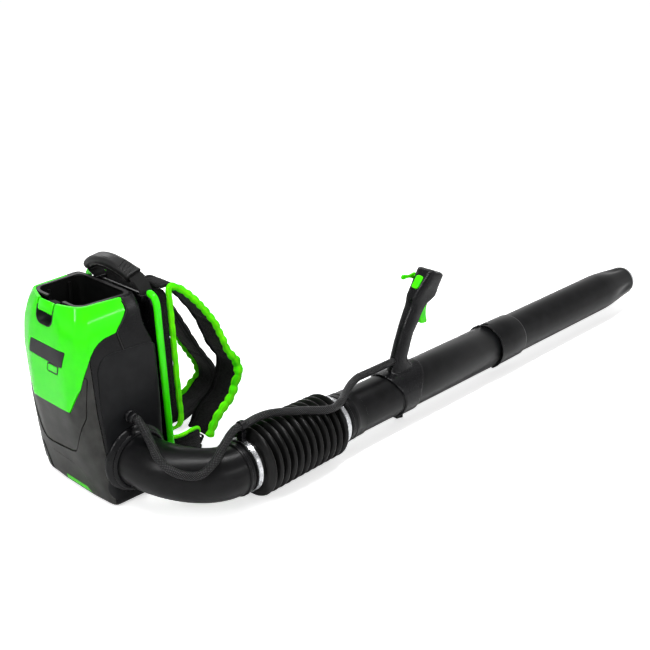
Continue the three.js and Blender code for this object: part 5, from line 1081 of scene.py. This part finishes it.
TRIGGER_PIN = (674, TUBE_Y, TUBE_Z + 208)
LEVER_X, LEVER_Z = 678, TUBE_Z + 256
KNOB_X = 600
CABLE_HOLE = (0, TUBE_Y, TUBE_Z + 79)
handle = solid(handle_ring())
boolean(handle, solid(grip_form()), "UNION")
boolean(handle, cylinder(-60.2, -50, 9, (KNOB_X, TUBE_Y, TUBE_Z), "z", 32), "UNION")
modify(handle, "REMESH", mode="VOXEL", voxel_size=1.9 * MM)
modify(handle, "SMOOTH", factor=0.7, iterations=9)
apply_all(handle)
boolean(handle, cylinder(500, 700, 53.6, LINE, "x"))
CAVITY = [(646, 138), (647, 160), (650, 184), (653, 204), (656, 220), (690, 222), (706, 208), (700, 190), (692, 138)]
boolean(handle, cut_prism([(x, z + TUBE_Z) for x, z in CAVITY], "y", TUBE_Y - 9.3, TUBE_Y + 9.3))
FACE_LOW, FACE_HIGH = Vector((640.5, 0, 232.7)), Vector((675.1, 0, 272.5))  # the rear face, above the tube's axis
face = (FACE_HIGH - FACE_LOW).normalized()
face_out = Vector((-face.z, 0, face.x))
face_middle = TUBE_AXIS + (FACE_LOW + FACE_HIGH) / 2


def on_rear_face(bm):
    """Puts a body drawn in the plane (x up the face, y across, z outward) onto the handle's rear face."""
    matrix = Matrix.Translation(face_middle) @ Matrix((face, (0, 1, 0), face_out)).transposed().to_4x4()
    bmesh.ops.transform(bm, matrix=matrix, verts=bm.verts)
    return bm


boolean(handle, solid(on_rear_face(bm_prism(rounded(33.9, 19.9, 6.4, 6), "z", -6.2, 8))))
boolean(handle, cylinder(-12, 40, 3.35, (LEVER_X, TUBE_Y + 28, LEVER_Z), "y", 32))
boolean(handle, cylinder(540, 586, 9.6, CABLE_HOLE, "x", 40))
right_half = boolean(copy_of(handle), solid(box(400, 900, -600, TUBE_Y - 0.2, 0, 600)), "INTERSECT")
left_half = boolean(handle, solid(box(400, 900, TUBE_Y + 0.2, 0, 0, 600)), "INTERSECT")
stand_for(finish(right_half, "handle_shell_right", black), "handle", "shell_black", "handle_right")
stand_for(finish(left_half, "handle_shell_left", black), "handle", "shell_black", "handle_left")

button = on_rear_face(bm_prism(rounded(33, 19, 6, 6), "z", -3.4, 2.5))
add_piece("turbo_button_cap", button, green_satin, 40, (1.6, 4, 40), "turbo", "cover_green", "turbo_button")

blade = spline([(664, 214.5, 0), (674, 217.5, 0), (683, 214, 0), (693, 203.5, 0), (687.5, 193, 0), (684.5, 180, 0),
                (684.5, 167, 0), (688.5, 152, 0), (687.5, 147, 0), (680, 146.6, 0), (667, 149.6, 0), (663.2, 155, 0),
                (662, 178, 0), (660.5, 196, 0)], 112, closed=True)
trigger = cut_prism([(p.x, p.y + TUBE_Z) for p in blade], "y", TUBE_Y - 8.5, TUBE_Y + 8.5)
apply_all(bevel(trigger, 2.4, 5, 40))
boolean(trigger, cylinder(-20, 20, 2.35, TRIGGER_PIN, "y", 24))
stand_for(finish(trigger, "trigger_blade", green_satin, 40), "trigger", "cover_green", "trigger")

LEVER_TIP = Vector((640, 0, TUBE_Z + 262))


def lever_outline():
    """The cruise lever from the side: a round hub, a waist and a wider thumb end."""
    hub_radius, end_radius = 8, 5.8
    at = Vector((LEVER_X, 0, LEVER_Z))
    way = (LEVER_TIP - at).normalized()
    side = Vector((-way.z, 0, way.x))
    reach = (LEVER_TIP - at).length
    right, left = [], []
    for i in range(25):
        t = i / 24
        half = hub_radius + (3.6 - hub_radius) * min(1, t * 2.4) + (2.2 * max(0, t - 0.62) / 0.38)
        p = at + way * reach * t
        right.append(p + side * half)
        left.append(p - side * half)
    half_turn = [math.pi * k / 10 for k in range(1, 10)]
    hub = [at - way * hub_radius * math.sin(a) + side * hub_radius * math.cos(a) for a in half_turn]
    end = [LEVER_TIP + way * end_radius * math.sin(a) - side * end_radius * math.cos(a) for a in half_turn]
    return [(p.x, p.z) for p in right[::-1] + hub + left + end]


lever = bm_prism(lever_outline(), "y", TUBE_Y + 25.3, TUBE_Y + 30.2)
add_piece("cruise_lever_arm", lever, green_satin, 40, (1.2, 3, 40), "cruise", "cover_green", "cruise_lever")
POST, STUD = [(-8, 0.2), (-8, 3), (1, 3), (1, 0.2)], [(16, 0.2), (16, 3), (21.8, 3), (21.8, 0.2)]
lathe_piece("cruise_lever_post", POST, (LEVER_X, TUBE_Y + 25.2, LEVER_Z), "y", green_satin, "cruise", "cover_green",
            sides=24)

lobes = [(14 * (0.9 + 0.1 * math.cos(5 * a)), a) for a in turns(80)]
knob = bm_prism([(KNOB_X + r * math.cos(a), TUBE_Y + r * math.sin(a)) for r, a in lobes], "z", 5.7, 16.7)
add_piece("clamp_knob_head", knob, soft_rubber, 50, (1.6, 3, 40), "knob", "rubber_black", "clamp_knob")
lathe_piece("clamp_knob_stud", STUD, (KNOB_X, TUBE_Y, 0), "z", steel, "knob", "rubber_black", sides=24)

# ---------------------------------------------------------------- control cable
CLIP_Z, SEAT_Z = 167.0, 156.0
CABLE_LOWER = [(-47, -134, 194), (-47, -140, 194), (-47, -146, 194), (-46, -161, 183), (-48, -178, 170),
               (-56, -204, 159), (-64, -233, 145), (-58, -262, 130), (-40, -284, 120), (-16, -299, 118),
               (17, -301, 132), (52, -288, 148), (82, -278, 161), (98, -276, CLIP_Z), (105, -276, CLIP_Z),
               (111.9, -276, CLIP_Z)]
CABLE_MIDDLE = [(112.1, -276, CLIP_Z), (119, -276, CLIP_Z), (126, -276, CLIP_Z), (156, -272, 167), (192, -278, 167),
                (255, -307, 160), (309, -328, 150), (334, -327, 147), (353, -322, 149), (376, -308, 144),
                (406, -290, 144), (436, -279, 151), (460, -276, SEAT_Z), (470, -276, SEAT_Z), (479.9, -276, SEAT_Z)]
CABLE_UPPER = [(480.1, -276, SEAT_Z), (500, -276, SEAT_Z), (520, -276, SEAT_Z), (540, -276, SEAT_Z),
               (560, -276, SEAT_Z), (584, -276, SEAT_Z)]


CABLE_RADIUS = 8.7


def cable(name, route, node):
    obj = sweep(name, even(spline(route, 400), 2.0), circle(CABLE_RADIUS, 24), braid)
    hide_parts(node)
    return obj


lower_cable = cable("control_cable_lower", CABLE_LOWER, "cable_lower")
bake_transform(lower_cable)
middle_cable = cable("control_cable_middle", CABLE_MIDDLE, "cable_middle")
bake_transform(middle_cable)
upper_cable = cable("control_cable_upper", CABLE_UPPER, "cable_upper")
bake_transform(upper_cable)
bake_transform(bellows)

CLIP_RING = [(-6, 9.5), (-6, 11.4), (-5.4, 12), (5.4, 12), (6, 11.4), (6, 9.5)]
lathe_piece("cable_clip_loop", CLIP_RING, (BAND_REAR_X, TUBE_Y, CLIP_Z), "x", black, "elbow", "shell_black",
            "cable_clip", sides=40)
foot = box(BAND_REAR_X - 6, BAND_REAR_X + 6, TUBE_Y - 8.6, TUBE_Y + 8.6, TUBE_Z + 57.9, CLIP_Z - 10.2)
add_piece("cable_clip_foot", foot, black, 40, (1.0, 2), "elbow", "shell_black")


# ---------------------------------------------------------------- harness
FRAME_TOP_X, FRAME_LEAN, FRAME_THICKNESS = 38, 18, 4.5  # its rear face at the top, how far it leans


def frame_front(z):
    """The frame's front face leans forward toward its foot."""
    return FRAME_TOP_X + FRAME_LEAN * (FRAME_TOP_Z - z) / FRAME_TOP_Z + FRAME_THICKNESS


def inflate(obj, voxel, pressure, cap, held):
    """Blows a sewn shell up a little as cloth. Points that held() names, in millimetres, stay put."""
    modify(obj, "REMESH", mode="VOXEL", voxel_size=voxel * MM)
    apply_all(obj)
    rest = [v.co.copy() for v in obj.data.vertices]
    group = obj.vertex_groups.new(name="held")
    group.add([v.index for v in obj.data.vertices if held(v.co / MM)], 1.0, "REPLACE")
    cloth = modify(obj, "CLOTH")
    cloth.settings.vertex_group_mass = "held"
    cloth.settings.use_pressure = True
    cloth.settings.uniform_pressure_force = pressure
    cloth.settings.effector_weights.gravity = 0
    cloth.point_cache.frame_start = 1
    cloth.point_cache.frame_end = 20
    for step in range(1, 21):
        bpy.context.scene.frame_set(step)
    apply_all(obj)
    bpy.context.scene.frame_set(1)
    for v, start in zip(obj.data.vertices, rest):
        move = v.co - start
        if move.length > cap * MM:
            v.co = start + move.normalized() * cap * MM
    obj.vertex_groups.clear()
    modify(obj, "SMOOTH", factor=0.5, iterations=2)
    modify(obj, "SUBSURF", levels=1, render_levels=1)
    apply_all(obj)
    shade(obj, 180)
    return obj


def press_seam(obj, distance, width, depth, toward):
    """Draws the skin in along a seam: distance(p) is how far p lies from it, toward(p) the way in."""
    for v in obj.data.vertices:
        p = v.co / MM
        d = distance(p)
        if d < width * 3:
            v.co += Vector(toward(p)) * depth * MM * math.exp(-((d / width) ** 2))
    obj.data.update()


def stitches(name, line):
    """A row of thread stitches lying on a line of points."""
    pitch, length, radius = 4.6, 3.0, 0.42
    bm = bmesh.new()
    marks = even(line, pitch)
    for a, b in zip(marks, marks[1:]):
        way = (b - a).normalized()
        turn = Vector((0, 0, 1)).rotation_difference(way).to_matrix().to_4x4()
        place = Matrix.Translation((a + b) / 2) @ turn @ Matrix.Diagonal((radius, radius, length / 2, 1))
        bmesh.ops.create_uvsphere(bm, u_segments=6, v_segments=5, radius=1.0, matrix=place)
    stand_for(new_object(name, bm, plain_cloth, 180), "housing", "webbing_black")


def gathered(width, thickness, pitch, seed, depth, sway):
    """Section of a sewn-on tape that puckers every pitch along its length; s counts the pitches."""
    base = rounded(width, thickness, thickness * 0.46, 4)

    def section(s):
        beat = abs(math.sin(math.pi * (s + 0.22 * noise.noise((s * 0.7, seed, 0.0)))))
        full = 1 - depth + depth * beat**0.45
        lean = sway * noise.noise((s * 0.9, seed, 3.0)) * 2
        out = []
        for a, b in base:
            fine = 0.35 * noise.noise((s * 6.0, a * 0.4, seed + 9.0))
            out.append((a * full + lean, b * (0.8 + 0.3 * beat) + fine))
        return out

    return section


def tape(name, path, width, thickness, pitch, seed, material, hint, depth, sway, widen=0.0):
    """A sewn tape with closed ends, which may widen over its second half."""
    line = even(spline(path, 60 * len(path)), 1.6)
    length = sum((b - a).length for a, b in zip(line, line[1:]))
    shape = gathered(width, thickness, pitch, seed, depth, sway)
    closing = 4.0 / length

    def section(share):
        end = min(share, 1 - share, closing) / closing
        squeeze = 0.35 + 0.65 * math.sin(math.pi / 2 * end)
        squeeze *= 1 + widen * min(1.0, max(0.0, (share - 0.5) / 0.15))
        return [(a * squeeze, b * squeeze) for a, b in shape(share * length / pitch)]

    stand_for(sweep(name, line, section, material, hint, 80), "housing", "strap_black")


# ---- frame edging ----
EDGE_Y = 116.4
EDGE_LINE = [(91, 426), (96, 425.2), (101.5, 423.6), (109.6, 419.6), (114.4, 411), (EDGE_Y, 398), (EDGE_Y, 370),
             (EDGE_Y, 280), (EDGE_Y, 160), (EDGE_Y, 60), (EDGE_Y, 9)]


def edging_section(share):
    """A tube, a little flat, that narrows at its upper end."""
    end = min(share * 60, 1.0)
    r = 7.4 * (0.55 + 0.45 * math.sin(math.pi / 2 * end))
    return [(a, b * 0.96) for a, b in circle(r, 28)]


for side, label in SIDES:
    line = even(spline([(frame_front(z) - 2.25, side * y, z) for y, z in EDGE_LINE], 600), 2.0)
    edging = sweep(f"frame_edging_tube_{label}", line, edging_section, green, (1, 0, 0), 50)
    stand_for(edging, "housing", "cover_green", f"frame_edging_{label}")

# ---- back pad ----
PAD_HALF = 103.0
PAD_LOW, PAD_HIGH = 112.0, 424.0
CHANNELS = [PAD_LOW + (PAD_HIGH - PAD_LOW) * share for share in (0.32, 0.66)]


def pad_block():
    """The pad before it is blown up, its sides drawn in and its front edge rounded."""
    rings = []
    for depth in (0.4, 3, 10, 20, 30, 35.5, 38.5, 39.6):
        draw = 3.5 * math.sin(math.pi * (depth / 40)) if 3 < depth < 36 else 0.0
        edge = 0.0 if depth < 35 else (depth - 35) ** 2 * 0.16
        ring = []
        for y, z in rounded(2 * (PAD_HALF - draw - edge), PAD_HIGH - PAD_LOW - 2 * (draw + edge), 15, 6):
            height = z + (PAD_LOW + PAD_HIGH) / 2
            ring.append((frame_front(height) + depth, y, height))
        rings.append(ring)
    return bm_loft(rings)


pad = solid(pad_block())
boolean(pad, solid(box(0, 61, -200, 200, 403, 500)))


def pad_held(p):
    depth = p.x - frame_front(p.z)
    if depth < 7:
        return True
    if depth > 34:
        return min(abs(p.z - z) for z in CHANNELS) < 4 or abs(p.y) < 4
    return False


inflate(pad, 6.0, 4.0, 7.5, pad_held)
NOWHERE = 99  # a distance from a seam that leaves a point alone
for across in [lambda p, z=z: abs(p.z - z) for z in CHANNELS] + [lambda p: abs(p.y)]:
    press_seam(pad, lambda p: across(p) if p.x > frame_front(p.z) + 30 else NOWHERE, 3.2, 3.0, lambda p: (-1, 0, 0))
press_seam(pad, lambda p: abs(p.x - frame_front(p.z) - 20) if abs(p.y) > PAD_HALF - 14 else NOWHERE, 1.8, 1.6,
           lambda p: (0, -math.copysign(1, p.y), 0))
pad.name = "back_pad_cushion"
pad.data.materials.clear()
pad.data.materials.append(pad_cloth)
stand_for(pad, "housing", "pad_black", "back_pad")


for side, label in SIDES:
    path = [(frame_front(PAD_LOW) + 6, side * 84, PAD_LOW - 3), (frame_front(PAD_LOW) + 22, side * 96, PAD_LOW - 4),
            (frame_front(PAD_LOW) + 34, side * 102, PAD_LOW + 3)]
    for z in (130, 170, 220, 270, 320, 360, 395, 412, 421):
        path.append((frame_front(z) + 39.2, side * 103.6, z))
    path += [(frame_front(428) + 41, side * 104.2, 428), (frame_front(432) + 47, side * 104.6, 432.4)]
    tape(f"pad_binding_{label}", path, 13.5, 8.4, 30, 1.0 + side, binding, (1, 0, 0), 0.1, 0.5)
    row = []
    for z in range(124, 404, 6):
        start = Vector((frame_front(z) + 24.5, side * 140, z)) * MM
        row.append(pad.ray_cast(start, Vector((0, -side, 0)))[1] / MM)
    stitches(f"pad_side_stitches_{label}", row)

# ---- shoulder straps ----
RIGHT_STRAP = [(62, 431), (88, 430), (121, 409), (160, 368), (200, 312), (232, 240), (258, 198), (249, 155),
               (228, 122), (196, 98), (184, 80), (167, 54)]
LEFT_STRAP = [(62, 431), (90, 430), (127, 398), (188, 322), (256, 204), (312, 100), (268, 58), (204, 30)]
STRAP_Y = 70.0
STRAP_WIDTH, STRAP_THICKNESS = 64, 9.5
STRAP_HELD, STRAP_STITCH, STRAP_EDGE = 28.5, 24, 33  # from its middle: held in the cloth run, stitched, bound


def strap_piece(label, points, side, seams):
    """A padded strap with sewn edges, and quilting lines across it at the seams' shares of its length."""
    line = even(spline([(x, side * STRAP_Y, z) for x, z in points], 600), 4.0)
    shape = rounded(STRAP_WIDTH, STRAP_THICKNESS, 4.2, 3)
    strap = sweep(f"strap_work_{label}", line, shape, strap_cloth, (0, 1, 0), 80)
    stations = [line[round(share * (len(line) - 1))] for share in seams]

    def across(p):
        return min((Vector((p.x, 0, p.z)) - Vector((s.x, 0, s.z))).length for s in stations)

    def held(p):
        return abs(abs(p.y) - STRAP_Y) > STRAP_HELD or across(p) < 7.5

    inflate(strap, 5.0, 4.0, 4.2, held)

    def inward(p):
        best = min(line, key=lambda q: (q.x - p.x) ** 2 + (q.z - p.z) ** 2)
        way = Vector((best.x - p.x, 0, best.z - p.z))
        return way.normalized() if way.length > 1e-6 else Vector((0, 0, 0))

    for v in strap.data.vertices:
        p = v.co / MM
        pull = sum(1.5 * math.exp(-(((abs(p.y) - STRAP_Y - row) / 1.6) ** 2)) for row in (STRAP_STITCH, -STRAP_STITCH))
        crease = across(p)
        if crease < 14:
            pull += 1.8 * math.exp(-((crease / 8.5) ** 4))
        pucker = 0.5 * noise.noise(p / 17.0) + 0.25 * noise.noise(p / 6.0)
        v.co += inward(p) * (pull + pucker) * MM
    strap.data.update()
    strap.name = f"shoulder_strap_pad_{label}"
    stand_for(strap, "housing", "strap_black", f"shoulder_strap_{label}")
    outer = [(p.x, side * (STRAP_Y + STRAP_EDGE), p.z) for p in line[5:]]
    tape(f"strap_binding_{label}", outer[::6] + [outer[-1]], 9.5, 14.5, 23, 4.0 + side, binding, (0, 1, 0), 0.34, 1.2,
         widen=0.45)
    inner = [(p.x, side * (STRAP_Y - STRAP_EDGE), p.z) for p in line]
    tape(f"strap_inner_piping_{label}", inner[::6] + [inner[-1]], 6.0, 10.5, 40, 7.0 + side, plain_cloth, (0, 1, 0),
         0.08, 0.2)


strap_piece("right", RIGHT_STRAP, -1, (0.13, 0.36, 0.56, 0.8))
strap_piece("left", LEFT_STRAP, 1, (0.13, 0.4, 0.62, 0.85))


# ---- buckles and webbing ----
def shifted(outline, x):
    return [(a + x, b) for a, b in outline]


def buckle_body():
    """Ladder-lock buckle lying in its own plane: x along the strap, y across, z out."""
    body = apply_all(bevel(cut_prism(rounded(20.6, 36, 3.4, 5), "z", -2.3, 2.3), 1.0, 3))
    for x in (-5.4, 2.2):
        boolean(body, cut_prism(shifted(rounded(3.6, 28, 1.6, 3), x), "z", -9, 9))
    for x in (6.6, 8.2):
        boolean(body, cut_prism(shifted(rounded(0.9, 30, 0.4, 2), x), "z", 1.8, 2.9), "UNION")
    return body


for label, points, side, middle in (("right", RIGHT_STRAP, -1, (110, 22)), ("left", LEFT_STRAP, 1, (120, 14))):
    (x0, z0), (x1, z1) = points[-2:]
    end = Vector((x1, side * STRAP_Y, z1))
    way = Vector((x1 - x0, 0, z1 - z0)).normalized()
    up = way.cross(Vector((0, 1, 0)))
    buckle = buckle_body()
    buckle.data.transform(Matrix.Translation((end + way * 11.2) * MM)
                          @ Matrix((way, (0, 1, 0), up)).transposed().to_4x4())
    stand_for(finish(buckle, f"ladder_buckle_{label}", black), "housing", "shell_black", f"strap_buckle_{label}")
    line = [end + way * 22.8, end + way * 32, (middle[0], side * STRAP_Y, middle[1]),
            (frame_front(9) + 0.6, side * STRAP_Y, 9)]
    band = sweep(f"webbing_band_{label}", even(spline(line, 200), 2.5), rounded(25, 1.9, 0.8, 3), webbing, (0, 1, 0))
    stand_for(band, "housing", "webbing_black", f"strap_webbing_{label}")

# ---- hip pads ----
HIP_Z = 57
HIP_PLAN = [(61.7, 98), (78, 104), (98, 106), (124, 103), (148, 95)]


def hip_section(share):
    round_end = math.sqrt(max(0.0, 1 - max(0.0, (share - 0.8) / 0.2) ** 2)) * 0.45 + 0.55
    return [(a * round_end, b) for a, b in rounded(66, 8.6, 3.9, 3)]


for side, label in SIDES:
    line = even(spline([(x, side * y, HIP_Z) for x, y in HIP_PLAN], 200), 4.0)
    hip = sweep(f"hip_work_{label}", line, hip_section, strap_cloth, (0, 0, 1), 80)
    inflate(hip, 4.6, 4.0, 3.6, lambda p: abs(p.z - HIP_Z) > 28 or p.x < 67 or p.x > 140)
    press_seam(hip, lambda p: abs(abs(p.z - HIP_Z) - 20), 1.8, 1.4,
               lambda p, s=side: (0, -math.copysign(1, abs(p.y) - 101) * s, 0))
    hip.name = f"hip_pad_cushion_{label}"
    stand_for(hip, "housing", "pad_black", f"hip_pad_{label}")
    top, low = [[(x, side * y, HIP_Z + edge) for x, y in HIP_PLAN[:-1]]
                + [(143, side * 97, HIP_Z + corner), (148, side * 95.2, HIP_Z + end)]
                for edge, corner, end in ((33.5, 27, 13), (-33.5, -27, -13))]
    tape(f"hip_binding_{label}", top, 8.5, 9.0, 24, 12.0 + side, binding, (0, 0, 1), 0.2, 0.6)
    tape(f"hip_piping_{label}", low, 6.5, 9.0, 40, 15.0 + side, plain_cloth, (0, 0, 1), 0.06, 0.2)

# ---- carry handle ----
CARRY_LINE = [(43, -79, 418.6), (43, -79, 423.6), (42, -72.7, 436.2), (39, -52.1, 450.2), (32, -19.8, 463.8),
              (28, 22.1, 470), (29, 61.6, 462.7), (31.8, 82.2, 450.2), (37, 88.5, 436.7), (43, 79, 423.6),
              (43, 79, 418.6)]
GRIP_LINE = [(38.8, -49.8, 451), (32, -19.8, 463.8), (28, 22.1, 470), (29, 61.6, 462.7), (31.8, 82.2, 450.2),
             (33.1, 85.3, 446.1)]
CARRY_SIDE = Vector((1, 0, 0.15))
carry_path = even(spline(CARRY_LINE, 500), 2.0)
carry_band = sweep("carry_webbing", carry_path, rounded(29.5, 2.9, 1.2, 3), webbing, CARRY_SIDE)
stand_for(carry_band, "housing", "webbing_black", "carry_strap")

grip_path = even(spline(GRIP_LINE, 300), 2.0)


def grip_section(share):
    end = min(share, 1 - share)
    flare = 1 + 0.07 * math.exp(-((end / 0.06) ** 2))
    waist = 1 - 0.05 * math.sin(math.pi * share)
    return [(a * flare * waist, b * flare) for a, b in rounded(37.4, 20.6, 8.6, 7)]


carry_grip = sweep("grip_work", grip_path, grip_section, soft_rubber, CARRY_SIDE, 60)
modify(carry_grip, "REMESH", mode="VOXEL", voxel_size=1.3 * MM)
modify(carry_grip, "SMOOTH", factor=0.6, iterations=4)
apply_all(carry_grip)
grip_frames = frames(grip_path, CARRY_SIDE)


def grip_cutter(share, outline, low, high, turn=0.0):
    """A cutter standing on the grip's top: outline is (along, across), low and high from the centre line."""
    p, across, up = grip_frames[round(share * (len(grip_frames) - 1))]
    out = -up
    along = across.cross(out)
    bm = bm_prism(outline, "z", low, high)
    spin = Matrix.Rotation(turn, 4, "Z")
    bmesh.ops.transform(bm, matrix=Matrix.Translation(p) @ Matrix((along, across, out)).transposed().to_4x4() @ spin,
                        verts=bm.verts)
    return solid(bm)


for share in (0.05, 0.105, 0.16, 0.215, 0.785, 0.84, 0.895, 0.95):
    lean = math.radians(16 if share < 0.5 else -16)
    boolean(carry_grip, grip_cutter(share, rounded(3.0, 60, 1.4, 3), 8.2, 30, lean))
oval = [(23 * math.cos(a), 9.5 * math.sin(a)) for a in turns(48)]
oval_groove = grip_cutter(0.5, oval, 9.1, 30)
boolean(oval_groove, grip_cutter(0.5, [(a * 0.9, b * 0.8) for a, b in oval], 0, 40))
boolean(carry_grip, oval_groove)
channel_path = even(spline(CARRY_LINE, 500), 3.0)
boolean(carry_grip, sweep("channel", channel_path, rounded(31, 4.2, 1.6, 3), soft_rubber, CARRY_SIDE))
stand_for(finish(carry_grip, "carry_grip_rubber", soft_rubber, 40), "housing", "rubber_black", "carry_grip")
under = []
for share in (0.02, 0.2, 0.4, 0.6, 0.8, 0.98):
    p, across, up = grip_frames[round(share * (len(grip_frames) - 1))]
    under.append(p + up * (13.2 + 3.2 * math.sin(math.pi * share)))
lower_band = sweep("carry_webbing_lower", even(spline(under, 200), 2.5), rounded(24, 2.2, 1.0, 3), webbing, CARRY_SIDE)
stand_for(lower_band, "housing", "webbing_black")
for side, label in SIDES:
    y = side * 79
    add_piece(f"carry_foot_{label}", box(27.5, 58.5, y - 4.6, y + 4.6, 411, 419), black, 40, (1.6, 3), "housing",
              "shell_black")

# battery contacts standing in the bottom of the bay
for k in range(5):
    y = -16 + 8 * k
    add_piece(f"battery_contact_{k + 1}", box(-64, -52, y - 0.9, y + 0.9, 250, 264), steel, 40, (0.4, 2), "housing",
              "steel_bright")
